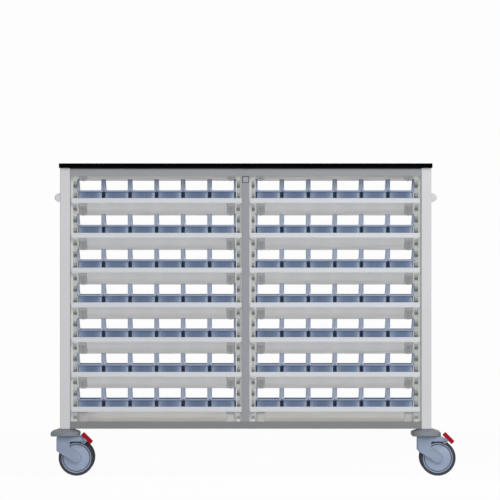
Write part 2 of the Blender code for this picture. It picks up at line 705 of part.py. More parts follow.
def add_frame(root):
    """The worktop, the frames, the runner panels and the handles."""
    worktop_z = FRAME_TOP + SEAT_GAP + WORKTOP_THICKNESS / 2
    part("worktop", worktop_mesh(), BLACK_LAMINATE, root, (0, 0, worktop_z))
    end_frame = end_frame_mesh()
    handle = handle_mesh()
    handle_place = (FRAME_HALF_WIDTH + HANDLE_STAND_OUT, 0, FRAME_TOP - HANDLE_BELOW_TOP)
    for name, turn in (("left", 0.0), ("right", math.pi)):
        part(f"end_frame_{name}", end_frame, PALE_PAINT, root, turn=turn, smooth=True)
        x = handle_place[0] if turn else -handle_place[0]
        part(f"push_handle_{name}", handle, PALE_PLASTIC, root, (x, 0, handle_place[2]), turn, True)
    part("front_frame", front_frame_mesh(), GREY_PAINT, root)
    part("rear_frame", rear_frame_mesh(), GREY_PAINT, root, turn=math.pi)
    inner_x = RAIL_SIZE / 2
    outer_x = inner_x + BAY_WIDTH
    facing_right = runner_panel_mesh(1)
    facing_left = runner_panel_mesh(-1)
    part("runner_panel_left_outer", facing_right, PALE_PLASTIC, root, (-outer_x, 0, 0))
    part("runner_panel_left_inner", facing_left, PALE_PLASTIC, root, (-inner_x, 0, 0))
    part("runner_panel_right_inner", facing_right, PALE_PLASTIC, root, (inner_x, 0, 0))
    part("runner_panel_right_outer", facing_left, PALE_PLASTIC, root, (outer_x, 0, 0))


def add_shelves(root):
    """A cover, and the trays with their bins, numbered from the top in each bay."""
    cover = cover_mesh()
    tray = tray_mesh()
    bin_row = bin_row_mesh()
    for bay, x in (("left", -BAY_CENTRE_X), ("right", BAY_CENTRE_X)):
        ceiling = holder(f"ceiling_{bay}", root, (x, TRAY_FRONT_Y, COVER_Z), -TRAY_TILT)
        part(f"top_cover_{bay}", cover, TRAY_PLASTIC, ceiling)
        for row in range(TRAYS_PER_BAY):
            place = (x, TRAY_FRONT_Y, HIGHEST_TRAY_Z - row * TRAY_PITCH)
            slide = holder(f"shelf_{bay}_{row + 1}", root, place, -TRAY_TILT)
            part(f"tray_{bay}_{row + 1}", tray, TRAY_PLASTIC, slide)
            part(f"bin_row_{bay}_{row + 1}", bin_row, BLUE_PLASTIC, slide, (0, BIN_START, SEAT_GAP))


def add_casters(root):
    """Four casters that trail to +X, with brake pedals on the two at the front."""
    bumper = bumper_mesh()
    forks = {True: fork_mesh(True), False: fork_mesh(False)}
    hub = hub_mesh()
    tyre = tyre_mesh()
    pedal = pedal_mesh()
    for depth, y in (("front", -POST_Y), ("rear", POST_Y)):
        for side, x in (("left", -POST_X), ("right", POST_X)):
            corner = f"{depth}_{side}"
            braked = depth == "front"
            swivel = holder(f"caster_{corner}", root, (x, y, 0))
            part(f"caster_bumper_{corner}", bumper, BUMPER_PLASTIC, swivel, smooth=True)
            part(f"caster_fork_{corner}", forks[braked], CASTER_PLASTIC, swivel, smooth=True)
            axle = (WHEEL_TRAIL, 0, WHEEL_RADIUS)
            part(f"wheel_hub_{corner}", hub, CASTER_PLASTIC, swivel, axle, smooth=True)
            part(f"tyre_{corner}", tyre, TYRE_RUBBER, swivel, axle, smooth=True)
            if braked:
                pin = (PEDAL_PIN_X, 0, PEDAL_PIN_Z)
                part(f"brake_pedal_{corner}", pedal, PEDAL_PLASTIC, swivel, pin, smooth=True)


cart_root = holder("cart", place=(CART_OFFSET_X, 0, 0))
add_frame(cart_root)
add_shelves(cart_root)
add_casters(cart_root)
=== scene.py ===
"""Looks of a two-bay hospital bin cart, built round its fixed frame, in metres with +Z up.

Every new piece is a surface worked out as whole arrays: an outline carried along a profile of
insets and heights, a profile turned about an axis, or rings whose height follows a rule.
"""

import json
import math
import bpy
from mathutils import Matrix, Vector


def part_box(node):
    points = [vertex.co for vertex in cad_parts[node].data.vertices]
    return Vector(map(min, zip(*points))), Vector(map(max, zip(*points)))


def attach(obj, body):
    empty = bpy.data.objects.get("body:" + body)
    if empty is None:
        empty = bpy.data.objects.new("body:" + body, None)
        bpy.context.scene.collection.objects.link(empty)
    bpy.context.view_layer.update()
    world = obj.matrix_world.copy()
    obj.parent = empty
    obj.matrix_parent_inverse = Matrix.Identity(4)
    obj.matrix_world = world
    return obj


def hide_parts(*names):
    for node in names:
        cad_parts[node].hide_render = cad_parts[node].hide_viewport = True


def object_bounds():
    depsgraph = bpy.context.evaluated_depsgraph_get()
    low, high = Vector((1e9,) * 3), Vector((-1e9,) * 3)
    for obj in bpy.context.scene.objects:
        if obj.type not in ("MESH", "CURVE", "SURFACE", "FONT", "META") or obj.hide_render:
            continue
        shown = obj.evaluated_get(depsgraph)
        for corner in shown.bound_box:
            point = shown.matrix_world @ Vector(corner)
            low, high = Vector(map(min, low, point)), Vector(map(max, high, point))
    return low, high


bl_info = {
    "name": "Bin cart looks",
    "version": (1, 0, 0),
    "blender": (4, 5, 0),
    "location": "3D View > Sidebar > Bin cart",
    "description": "Finished pieces, materials and a plain studio for a two-bay bin cart",
    "category": "Object",
}

import bpy
import numpy as np
from bpy.props import FloatProperty, FloatVectorProperty, PointerProperty
from bpy.types import Operator, Panel, PropertyGroup

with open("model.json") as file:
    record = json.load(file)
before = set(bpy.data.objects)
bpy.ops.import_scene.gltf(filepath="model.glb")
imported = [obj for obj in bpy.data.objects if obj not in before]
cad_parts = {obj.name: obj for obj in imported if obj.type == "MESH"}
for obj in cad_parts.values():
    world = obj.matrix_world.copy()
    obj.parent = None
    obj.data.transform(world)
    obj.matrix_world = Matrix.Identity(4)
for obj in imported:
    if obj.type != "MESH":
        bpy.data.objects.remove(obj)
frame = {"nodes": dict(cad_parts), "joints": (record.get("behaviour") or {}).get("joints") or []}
CAD_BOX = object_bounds()

BAYS = {"left": -1, "right": 1}
DEPTHS = {"front": -1, "rear": 1}
JOINTS = {joint["name"]: joint for joint in frame["joints"]}
ROWS = sum(name.startswith("shelf_left") for name in JOINTS)
CORNERS = [f"{depth}_{side}" for depth in DEPTHS for side in BAYS]
BINS_PER_TRAY = 6
RIBS_PER_TRAY = 3

# Gap between pieces that rest on each other, and half the gap between the wide backs of two bins
SEAT_GAP = 0.0003
WING_GAP = 0.00002
# Radii of edges that only just catch the light: of an end that butts against a piece, and of a free one
BUTT_EDGE = 0.0002
FINE_EDGE = 0.0003

X_AXIS = np.array((1.0, 0.0, 0.0))
PULL = np.array(JOINTS["shelf_left_1_slide"]["axis"], float)
# Rows of each set: the outline's first axis, its second axis, and the axis that it is carried along
PLAN = np.eye(3)
ALONG_Y = np.array(((1, 0, 0), (0, 0, 1), (0, 1, 0)), float)
ALONG_X = np.array(((0, 1, 0), (0, 0, 1), (1, 0, 0)), float)
SHELF = np.array((-PULL, np.cross(X_AXIS, -PULL), X_AXIS))
RIB = SHELF[[2, 1, 0]]

# How fine the round shapes are
EDGE_STEPS = 3
CORNER_STEPS = 6
TURN_STEPS = 72
HUB_STEPS = 96
TYRE_STEPS = 120
AXLE_STEPS = 32
PIN_STEPS = 24
RIVET_STEPS = 16
# Faces that meet at a larger angle keep a hard edge; the gain turns sharpness into a share of wear
SHARP_ANGLE = math.radians(42)
EDGE_GAIN = 14


def number(label, note, default, **limits):
    """A number, such as a strength or a share, that a user may change."""
    return FloatProperty(name=label, description=note, default=default, **limits)


def length(label, note, default):
    """A size in metres that a user may change."""
    return number(label, note, default, min=0, unit="LENGTH", precision=4)


def colour(label, note, default):
    """A colour that a user may change."""
    return FloatVectorProperty(
        name=label, description=note, default=default, min=0, max=1, size=3, subtype="COLOR"
    )


class BINCART_PG_frame(PropertyGroup):
    """Sizes and colours of the worktop, posts, rails, panels and handles."""

    worktop_round: length("Worktop corner", "Radius of the worktop's corners in plan", 0.010)
    worktop_edge: length("Worktop edge", "Radius of the worktop's eased edges", 0.002)
    band_groove: length("Edge band line", "Depth of the fine line where the edge band meets the face", 0.0003)
    post_round: length("Post corner", "Radius of the posts' corners", 0.003)
    rail_round: length("Rail corner", "Radius of the rails' corners", 0.0015)
    # The dark strip under the worktop is painted shadow for the gap over a rail
    shadow_strip_inset: length("Seal inset", "How far the strip under the worktop lies inside a rail's faces", 0.001)
    cap_size: length("Cap size", "Width of the square cap at the centre post's head", 0.0235)
    # The dark line round the cap is painted shadow
    cap_line: length("Cap line", "Width of the dark line round the cap", 0.0024)
    sheet: length("Panel sheet", "Thickness of a runner panel's sheet", 0.003)
    flange_width: length("Flange width", "Width of a runner panel's front flange, with its sheet", 0.011)
    flange_depth: length("Flange depth", "Thickness of a runner panel's flange", 0.004)
    rib: length("Rib thickness", "Thickness of a runner rib", 0.003)
    rib_end: length("Rib end gap", "Distance of a rib's end from the panel's edge", 0.012)
    grip_end: length("Handle end", "Radius of the push handle's rounded ends", 0.005)
    worktop_colour: colour("Worktop", "Black laminate", (0.0008, 0.0008, 0.001))
    post_colour: colour("Posts", "Pale paint of the posts", (0.62, 0.62, 0.64))
    rail_colour: colour("Rails", "Grey paint of the rails", (0.286, 0.297, 0.322))
    foot_rail_colour: colour("Foot rails", "Darker grey of the bottom rails", (0.20, 0.205, 0.21))
    panel_colour: colour("Panels", "Pale moulded panels", (0.62, 0.635, 0.61))


class BINCART_PG_shelf(PropertyGroup):
    """Sizes and colours of the trays and bins."""

    lip: length("Lip thickness", "Depth of the tray's front lip", 0.012)
    lip_round: length("Lip round", "Radius of the lip's edges", 0.0035)
    sheet: length("Tray sheet", "Thickness of the tray's sheet", 0.003)
    side_gap: length("Sheet side gap", "How far the sheet stays inside the lip's ends", 0.0072)
    channel_width: length("Channel width", "Width of a stiffening channel", 0.030)
    channel_inset: length("Channel inset", "Distance of a channel from the bins' outer side", 0.004)
    channel_front: length("Channel front", "Distance of a channel from the lip's front", 0.026)
    channel_rear: length("Channel rear", "Distance of a channel from the tray's back", 0.068)
    rivet: length("Rivet radius", "Radius of the rivets that hold a channel", 0.004)
    bin_wall: length("Bin wall", "Thickness of a bin's wall", 0.002)
    rim_side: length("Side rim", "How far a bin's rim stands out at the sides", 0.006)
    rim_end: length("End rim", "How far a bin's rim stands out at the front and back", 0.004)
    rim_depth: length("Rim depth", "Height of a bin's turned-down rim", 0.005)
    rim_gap: length("Rim gap", "Half of the fine gap between the rims of two bins", 0.0002)
    bin_corner: length("Bin corner", "Radius of a bin's upright corners", 0.011)
    bin_foot: length("Bin foot", "Radius of a bin's floor edges", 0.004)
    front_land: length("Front land", "Length of the low rim before it starts to rise", 0.008)
    slope_run: length("Slope run", "Length over which the side rim rises", 0.030)
    # The sheets are paler than the lips of the same moulded tray: painted light that makes up for the shade
    # under the trays
    lip_colour: colour("Lips", "Pale lips of the trays", (0.62, 0.64, 0.67))
    tray_colour: colour("Trays", "Pale sheets of the trays", (0.75, 0.73, 0.695))
    channel_colour: colour("Channels", "Grey channels under the trays", (0.42, 0.42, 0.41))
    bin_colour: colour("Bins", "Blue bins", (0.138, 0.198, 0.315))
    # The bins' pale colour is painted light on their front corners and rims, and their deep colour is painted
    # shade in the gaps between them, under their rims and in the middle of their fronts
    bin_painted_light: colour("Bin edges", "Pale, cloudy edges of the bins", (0.55, 0.59, 0.70))
    bin_painted_shade: colour("Bin gaps", "Deep blue of the gaps between the bins", (0.035, 0.072, 0.155))


class BINCART_PG_caster(PropertyGroup):
    """Sizes and colours of the casters and their brake pedals."""

    tyre_depth: length("Tyre depth", "Depth of the tyre's ring", 0.0097)
    tread_width: length("Tread width", "Width of the flat of the tread", 0.016)
    hub_inset: length("Hub inset", "How far the hub's face lies inside the tyre's side", 0.003)
    hub_ring: length("Hub ring", "Width of the raised ring at the hub's edge", 0.0035)
    hub_groove: length("Hub groove", "Width and depth of the groove inside the ring", 0.0035)
    hub_cone: length("Hub cone", "How far the hub's disc rises from its edge to its boss", 0.0048)
    hub_boss: length("Hub boss", "Radius of the boss at the axle", 0.014)
    axle: length("Axle radius", "Radius of the axle", 0.005)
    arch_gap: length("Arch gap", "Gap between the tread and the fork's arch", 0.0035)
    leg: length("Leg thickness", "Thickness of a fork leg", 0.006)
    back_wall: length("Back wall", "Thickness of the fork behind the wheel", 0.004)
    knee_rise: length("Knee rise", "Height of the fork's knee above the axle", 0.0255)
    axle_boss: length("Axle boss", "Radius of the fork leg's round end", 0.018)
    slot_end: length("Slot end", "Distance from the stem to the end of the fork's slot", 0.017)
    nose: length("Nose radius", "Radius of the fork's round nose at the pedal's pin", 0.008)
    ledge_drop: length("Ledge drop", "How far the ledge's underside lies below the pedal's pin", 0.0005)
    fork_edge: length("Fork edge", "Radius of the fork's edges", 0.003)
    bumper_rim: length("Bumper rim", "Height of the bumper's upright rim", 0.018)
    bumper_crown: length("Bumper crown", "Radius of the bumper's flat crown", 0.020)
    pedal_length: length("Pedal length", "Length of the foot bar", 0.046)
    pedal_thickness: length("Pedal thickness", "Thickness of the foot bar", 0.015)
    pedal_round: length("Pedal round", "Radius of the foot bar's ends", 0.003)
    pedal_standoff: length("Pedal standoff", "Distance of the foot bar from its pin", 0.0095)
    pedal_ear: length("Pedal ear", "Radius of the ears round the pin", 0.007)
    fork_colour: colour("Forks", "Blue-grey forks and hubs", (0.268, 0.325, 0.44))
    bumper_colour: colour("Bumpers", "Grey bumpers", (0.19, 0.215, 0.235))
    tyre_colour: colour("Tyres", "Dark tyres", (0.013, 0.015, 0.022))
    pedal_colour: colour("Pedals", "Red pedals", (0.36, 0.004, 0.016))


class BINCART_PG_stage(PropertyGroup):
    """The camera, the lamps and the floor."""

    camera_distance: length("Camera distance", "Distance from the camera to the cart's front", 60.0)
    camera_height: length("Camera height", "Height of the camera above the floor", 0.819)
    frame_width: length("Frame width", "Width of the picture at the cart's front", 1.75)
    shift_x: number("Shift X", "Sideways shift of the lens", 0.0086)
    shift_y: number("Shift Y", "Upright shift of the lens", -0.0165)
    ambient: number("Ambient", "Strength of the even light", 0.42, min=0)
    surround: number("Surround", "Strength of the white that is seen round the cart", 0.98, min=0)
    key: number("Key", "Power of the lamp at the right", 110, min=0, unit="POWER")
    front: number("Front fill", "Strength of the fill from the front", 0.9, min=0)
    under: number("Under fill", "Strength of the fill from below", 2.4, min=0)
    floor_colour: colour("Floor", "Pale floor, as it lights the cart", (0.3, 0.3, 0.3))
    floor_glow: number("Floor glow", "Share of even white in the floor", 0.955, min=0, max=1)


SETTINGS = {
    "bincart_frame": BINCART_PG_frame,
    "bincart_shelf": BINCART_PG_shelf,
    "bincart_caster": BINCART_PG_caster,
    "bincart_stage": BINCART_PG_stage,
}


# Places read from the frame

def node_points(name):
    """All corners of a CAD node, as an array of rows (x, y, z)."""
    vertices = frame["nodes"][name].data.vertices
    flat = np.empty(3 * len(vertices), np.float32)
    vertices.foreach_get("co", flat)
    return flat.reshape(-1, 3).astype(float)


def node_box(name):
    """The lowest and highest corner of a CAD node, as arrays."""
    low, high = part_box(name)
    return np.array(low), np.array(high)


def shelf_points(name):
    """Corners of a CAD node along a shelf's own axes: back along the tray, up from it, and across."""
    return node_points(name) @ SHELF.T


# Outlines and surfaces

def arc(centre, radius, start, end, steps):
    """Points at even angles on a circle: centre plus radius times (cosine, sine)."""
    angle = np.linspace(start, end, steps + 1)
    return np.array(centre) + radius * np.stack((np.cos(angle), np.sin(angle)), -1)


def rounded(half_x, half_y, radius, steps=CORNER_STEPS):
    """A rectangle about the origin, counter-clockwise, with a quarter arc at each corner."""
    corner = np.array(((1, 1), (-1, 1), (-1, -1), (1, -1))) * (half_x - radius, half_y - radius)
    quarter = np.arange(4) * math.pi / 2
    return np.concatenate([arc(c, radius, q, q + math.pi / 2, steps) for c, q in zip(corner, quarter)])


def inset(outline, distance):
    """A counter-clockwise outline moved inwards: each point goes along the mitre of its two edges."""
    edge = np.roll(outline, -1, 0) - outline
    edge /= np.linalg.norm(edge, axis=1, keepdims=True)
    normal = np.stack((-edge[:, 1], edge[:, 0]), -1)
    before = np.roll(normal, 1, 0)
    mitre = (before + normal) / (1 + np.sum(before * normal, 1, keepdims=True))
    return outline + distance * mitre


def eased(low, high, radius, steps=EDGE_STEPS):
    """Rows (inset, height) of a straight wall between two heights, with a quarter round at each end."""
    angle = np.linspace(0, math.pi / 2, steps + 1)
    side = radius * (1 - np.sin(angle))
    rise = radius * (1 - np.cos(angle))
    foot = np.stack((side, low + rise), -1)
    head = np.stack((side, high - rise), -1)[::-1]
    return np.concatenate((foot, head))


def shell(rings, looped=False):
    """A closed skin over rings of equal count: quads from ring to ring, with a flat cap at each end.

    Where looped, the last ring joins the first instead.  The faces are turned to point outwards,
    told by the sign of the volume, the sum of (a . b x c) / 6 over triangles.
    """
    rings = np.asarray(rings, float)
    count, around = rings.shape[:2]
    index = np.arange(count * around).reshape(count, around)
    near, far = (index, np.roll(index, -1, 0)) if looped else (index[:-1], index[1:])
    quads = np.stack((near, np.roll(near, -1, 1), np.roll(far, -1, 1), far), -1).reshape(-1, 4)
    caps = [] if looped else [index[0, ::-1], index[-1]]
    points = rings.reshape(-1, 3)
    triangles = [quads[:, (0, 1, 2)], quads[:, (0, 2, 3)]]
    for cap in caps:
        fan = np.stack((np.full(around - 2, cap[0]), cap[1:-1], cap[2:]), -1)
        triangles.append(fan)
    a, b, c = (points - points.mean(0))[np.concatenate(triangles)].transpose(1, 0, 2)
    if np.einsum("ij,ij->", a, np.cross(b, c)) < 0:
        quads = quads[:, ::-1]
        caps = [cap[::-1] for cap in caps]
    return points, quads, caps


def swept(outline, profile, axes, origin=(0, 0, 0)):
    """An outline carried along an axis: at each row (inset, height) it shrinks by the inset."""
    rings = np.stack([inset(outline, row[0]) for row in profile])
    height = np.broadcast_to(np.asarray(profile)[:, 1, None, None], (*rings.shape[:2], 1))
    return shell(np.concatenate((rings, height), -1) @ axes + origin)


def turned(profile, axes, origin=(0, 0, 0), looped=False, steps=TURN_STEPS):
    """A profile of rows (radius, height) turned about an axis: radius times (cosine, sine), then height."""
    profile = np.asarray(profile, float)
    angle = np.arange(steps) * 2 * math.pi / steps
    circle = np.stack((np.cos(angle), np.sin(angle)), -1)
    rings = profile[:, 0, None, None] * circle
    height = np.broadcast_to(profile[:, 1, None, None], (*rings.shape[:2], 1))
    return shell(np.concatenate((rings, height), -1) @ axes + origin, looped)


def bar(low, high, axes, radius, edge=None):
    """A bar with round long edges between two corners, carried along its last axis."""
    corners = np.stack((low, high)) @ axes.T
    low, high = corners.min(0), corners.max(0)
    half = (high - low) / 2
    middle = (low + high) / 2
    outline = rounded(half[0], half[1], radius) + middle[:2]
    return swept(outline, eased(low[2], high[2], radius if edge is None else edge), axes)


def moved(skin, shift):
    """A skin moved by a vector."""
    points, quads, caps = skin
    return points + shift, quads, caps


def toned_rows(parts):
    """One profile from parts (rows, tone), and the tone of each of its rows."""
    rows = np.concatenate([rows for rows, _ in parts])
    return rows, np.concatenate([np.full(len(rows), tone, float) for rows, tone in parts])


def even_tone(skin, tone):
    """The same tone for every point of a skin."""
    return np.full(len(skin[0]), tone, float)


def edge_measure(points, quads):
    """How sharp the surface turns at each point: 1 less the length of the mean of its faces' normals."""
    corner = points[quads]
    normal = np.cross(corner[:, 2] - corner[:, 0], corner[:, 3] - corner[:, 1])
    normal /= np.linalg.norm(normal, axis=1, keepdims=True) + 1e-12
    total = np.zeros_like(points)
    np.add.at(total, quads, normal[:, None, :])
    count = np.bincount(quads.ravel(), minlength=len(points))
    return 1 - np.linalg.norm(total, axis=1) / np.maximum(count, 1)


def piece(name, skins, material, body, replaced=(), tone=None):
    """One named object from closed skins, riding on a body, with its sharpness kept as an attribute.

    tone may give each point a share of lighter (above 0) or darker (below 0) colour: painted light and
    painted shade.
    """
    start = np.cumsum([0] + [len(skin[0]) for skin in skins])
    points = np.concatenate([skin[0] for skin in skins])
    quads = np.concatenate([skin[1] + first for skin, first in zip(skins, start)])
    caps = [cap + first for skin, first in zip(skins, start) for cap in skin[2]]
    mesh = bpy.data.meshes.new(name)
    mesh.from_pydata(points, [], quads.tolist() + [cap.tolist() for cap in caps])
    smooth = np.arange(len(mesh.polygons)) < len(quads)
    mesh.polygons.foreach_set("use_smooth", smooth)
    mesh.set_sharp_from_angle(angle=SHARP_ANGLE)
    sharp = np.clip(EDGE_GAIN * edge_measure(points, quads), 0, 1)
    for label, values in (("edge", sharp), ("tone", tone)):
        if values is not None:
            attribute = mesh.attributes.new(label, "FLOAT", "POINT")
            attribute.data.foreach_set("value", values.astype(np.float32))
    mesh.materials.append(material)
    made = bpy.data.objects.new(name, mesh)
    bpy.context.scene.collection.objects.link(made)
    made.modifiers.new("even_shading", "WEIGHTED_NORMAL").keep_sharp = True
    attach(made, body)
    if replaced:
        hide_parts(*replaced)
    return made


# Materials

# Scales of the patches where edges are rubbed and where the gloss changes
RUB_SCALE, GLOSS_SCALE = 40, 30
# Sharpness at which wear starts, and the least wear that a patch leaves
WEAR_START, LEAST_RUB = 0.1, 0.4
# How far the gloss strays below and above its roughness, and the bump's depth and detail
SMOOTHER, ROUGHER = 0.06, 0.08
BUMP_DEPTH, BUMP_DETAIL = 0.0003, 2.0


def add_node(tree, kind, links=(), **values):
    """A shader node with its attributes and sockets set; links pairs a socket with an output."""
    node = tree.nodes.new(kind)
    for key, value in values.items():
        if hasattr(node, key):
            setattr(node, key, value)
        else:
            node.inputs[key.replace("_", " ")].default_value = value
    for socket, output in links:
        tree.links.new(output, node.inputs[socket])
    return node


def grain(tree, scale, stretch=(1, 1, 1), detail=3.0):
    """A noise value on Object coordinates, stretched along the axes."""
    place = add_node(tree, "ShaderNodeTexCoord")
    turn = add_node(tree, "ShaderNodeMapping", [("Vector", place.outputs["Object"])], Scale=stretch)
    flow = [("Vector", turn.outputs["Vector"])]
    return add_node(tree, "ShaderNodeTexNoise", flow, Scale=scale, Detail=detail).outputs["Fac"]


def ranged(tree, value, low, high, from_low=0.3, from_high=0.7):
    """A value mapped to a range."""
    node = add_node(tree, "ShaderNodeMapRange", [("Value", value)])
    limits = {"From Min": from_low, "From Max": from_high, "To Min": low, "To Max": high}
    for socket, number in limits.items():
        node.inputs[socket].default_value = number
    return node.outputs["Result"]


def toned(tree, base, factor, other):
    """A mix of two colours by a value; base may be a colour or an output."""
    mix = add_node(tree, "ShaderNodeMix", [(0, factor)], data_type="RGBA")
    for socket, tint in ((6, base), (7, other)):
        if isinstance(tint, bpy.types.NodeSocket):
            tree.links.new(tint, mix.inputs[socket])
        else:
            mix.inputs[socket].default_value = (*tint, 1)
    return mix.outputs[2]


def scaled(tint, factor):
    """A colour made lighter or darker."""
    return tuple(min(1.0, factor * part) for part in tint)


def surface(name, tint, roughness, mottle, pebble, wear, stretch=(1, 1, 1), tones=None, **sockets):
    """A shader with slow colour drift, a pebbled bump, uneven gloss and lighter worn edges.

    mottle is (scale, depth), pebble (scale, strength) and wear (lightening, amount).  tones holds
    the colours of painted light and of painted shade that a tone of 1 and a tone of -1 stand for,
    and sockets sets the shader's own values.
    """
    material = bpy.data.materials.new(name)
    material.use_nodes = True
    tree = material.node_tree
    shader = tree.nodes["Principled BSDF"]
    for key, value in sockets.items():
        shader.inputs[key.replace("_", " ")].default_value = value
    drift = ranged(tree, grain(tree, mottle[0], stretch), 0, 1)
    tone = toned(tree, scaled(tint, 1 - mottle[1]), drift, scaled(tint, 1 + mottle[1]))
    edge = add_node(tree, "ShaderNodeAttribute", attribute_name="edge").outputs["Fac"]
    worn = ranged(tree, edge, 0, wear[1], WEAR_START, 1.0)
    patches = ranged(tree, grain(tree, RUB_SCALE), LEAST_RUB, 1)
    rub = add_node(tree, "ShaderNodeMath", [(0, worn), (1, patches)], operation="MULTIPLY")
    mixed = toned(tree, tone, rub.outputs[0], scaled(tint, wear[0]))
    if tones:
        share = add_node(tree, "ShaderNodeAttribute", attribute_name="tone").outputs["Fac"]
        mixed = toned(tree, mixed, ranged(tree, share, 0, 1, 0, 1), tones[0])
        mixed = toned(tree, mixed, ranged(tree, share, 1, 0, -1, 0), tones[1])
    tree.links.new(mixed, shader.inputs["Base Color"])
    gloss = ranged(tree, grain(tree, GLOSS_SCALE, stretch), roughness - SMOOTHER, roughness + ROUGHER)
    tree.links.new(gloss, shader.inputs["Roughness"])
    height = grain(tree, pebble[0], stretch, BUMP_DETAIL)
    bump = add_node(tree, "ShaderNodeBump", [("Height", height)], Strength=pebble[1], Distance=BUMP_DEPTH)
    tree.links.new(bump.outputs["Normal"], shader.inputs["Normal"])
    return material


def black_laminate(tint):
    """Pressed laminate: near black, with a fine leathery grain and dull scuffs."""
    look = (9, 0.3), (1400, 0.25), (2.2, 0.4)
    return surface("black_laminate_worktop", tint, 0.55, *look, Specular_IOR_Level=0.012)


def powder_coat(name, tint):
    """Sprayed and baked powder: a faint orange peel and lighter edges."""
    return surface(name, tint, 0.46, (5, 0.025), (700, 0.12), (1.12, 0.5))


def moulded_panel(tint):
    """Moulded panel plastic with a fine spark-eroded texture; its paler and darker tones are painted light
    and painted shade.
    """
    tones = scaled(tint, 1.3), scaled(tint, 0.25)
    return surface("moulded_panel_plastic", tint, 0.52, (11, 0.04), (1600, 0.2), (1.1, 0.4), tones=tones)


def tray_plastic(name, tint):
    """Smooth moulded sheet with faint flow marks along its width; its darker tone is painted shade."""
    tones = tint, scaled(tint, 0.4)
    return surface(name, tint, 0.4, (6, 0.03), (500, 0.06), (1.12, 0.6), (0.3, 1, 1), tones)


def bin_plastic(tint, pale, deep):
    """Clear-tinted polypropylene: cloudy, with upright flow marks; pale is painted light and deep is painted
    shade.
    """
    look = (26, 0.16), (420, 0.05), (1.5, 0.5), (1, 1, 0.35), (pale, deep)
    return surface("bin_tinted_plastic", tint, 0.34, *look, Transmission_Weight=0.12, IOR=1.49)


def caster_plastic(name, tint, roughness):
    """Glass-filled caster plastic with a dry, slightly speckled face; its paler and darker tones are painted
    light and painted shade.
    """
    tones = scaled(tint, 1.25), scaled(tint, 0.25)
    return surface(name, tint, roughness, (38, 0.08), (1100, 0.22), (1.3, 0.6), tones=tones)


def tyre_rubber(tint):
    """Grey-black rubber, matt and lightly dusted; its paler and darker tones are painted light and painted
    shade.
    """
    tones = scaled(tint, 4), scaled(tint, 0.6)
    return surface("tyre_soft_rubber", tint, 0.74, (45, 0.25), (800, 0.3), (1.8, 0.35), tones=tones)


def pedal_plastic(tint):
    """Red pedal plastic, rubbed along its edges."""
    look = (30, 0.08), (900, 0.12), (1.25, 0.6)
    return surface("pedal_red_plastic", tint, 0.4, *look, Specular_IOR_Level=0.12)


def painted_shadow_material():
    """Painted shadow: a dark sheet put in a fine gap, where there is only shade."""
    return surface("dark_seal_strip", (0.03, 0.032, 0.036), 0.7, (60, 0.2), (900, 0.2), (1.3, 0.3))


def zinc_steel():
    """Zinc-plated steel of rivets and pins."""
    look = (80, 0.08), (1200, 0.1), (1.15, 0.4)
    return surface("zinc_plated_steel", (0.55, 0.56, 0.58), 0.35, *look, Metallic=0.9)


# The pieces, and the stage that they stand on

class BINCART_OT_worktop(Operator):
    """Make the worktop with its corners rounded and its edge band"""

    bl_idname = "bincart.worktop"
    bl_label = "Worktop"

    def execute(self, context):
        sizes = context.scene.bincart_frame
        low, high = node_box("worktop")
        half = (high - low) / 2
        outline = rounded(half[0], half[1], sizes.worktop_round)
        wall = eased(low[2], high[2], sizes.worktop_edge)
        line, seam = sizes.band_groove, high[2] - sizes.worktop_edge
        groove = np.array(((0, seam - 4 * line), (line, seam - 2 * line)))
        profile = np.concatenate((wall[: EDGE_STEPS + 1], groove, wall[EDGE_STEPS + 1 :]))
        skin = swept(outline, profile, PLAN, (*((low + high) / 2)[:2], 0))
        material = black_laminate(sizes.worktop_colour)
        piece("worktop_slab", [skin], material, "frame", ["worktop"])
        return {"FINISHED"}


class BINCART_OT_posts(Operator):
    """Make the corner posts and the cross rails between them"""

    bl_idname = "bincart.posts"
    bl_label = "Posts and cross rails"

    def execute(self, context):
        sizes = context.scene.bincart_frame
        paint = powder_coat("pale_powder_coat", sizes.post_colour)
        rail = np.ptp(node_points("front_frame")[:, 1])
        for side in BAYS:
            node = f"end_frame_{side}"
            low, high = node_box(node)
            post = high[0] - low[0]
            for depth in DEPTHS:
                near = low[1] if depth == "front" else high[1] - post
                start, end = (low[0], near, low[2]), (high[0], near + post, high[2])
                skin = bar(start, end, PLAN, sizes.post_round, sizes.rail_round / 2)
                piece(f"post_{depth}_{side}", [skin], paint, "frame", [node])
            middle = (low[0] + high[0]) / 2
            for level, bottom in (("bottom", low[2]), ("top", high[2] - rail)):
                start = (middle - rail / 2, low[1] + post, bottom)
                end = (middle + rail / 2, high[1] - post, bottom + rail)
                skin = bar(start, end, ALONG_Y, sizes.rail_round, BUTT_EDGE)
                piece(f"cross_rail_{level}_{side}", [skin], paint, "frame", [node])
        return {"FINISHED"}


# How far a centre post's cap and its dark ring of painted shadow stand out, the radius of their ends,
# and how much paler than the rails the cap is
CAP_PROUD = 0.0006
SHADOW_RING_PROUD = 0.0001
CAP_EDGE = 0.0001
CAP_PALER = 1.15


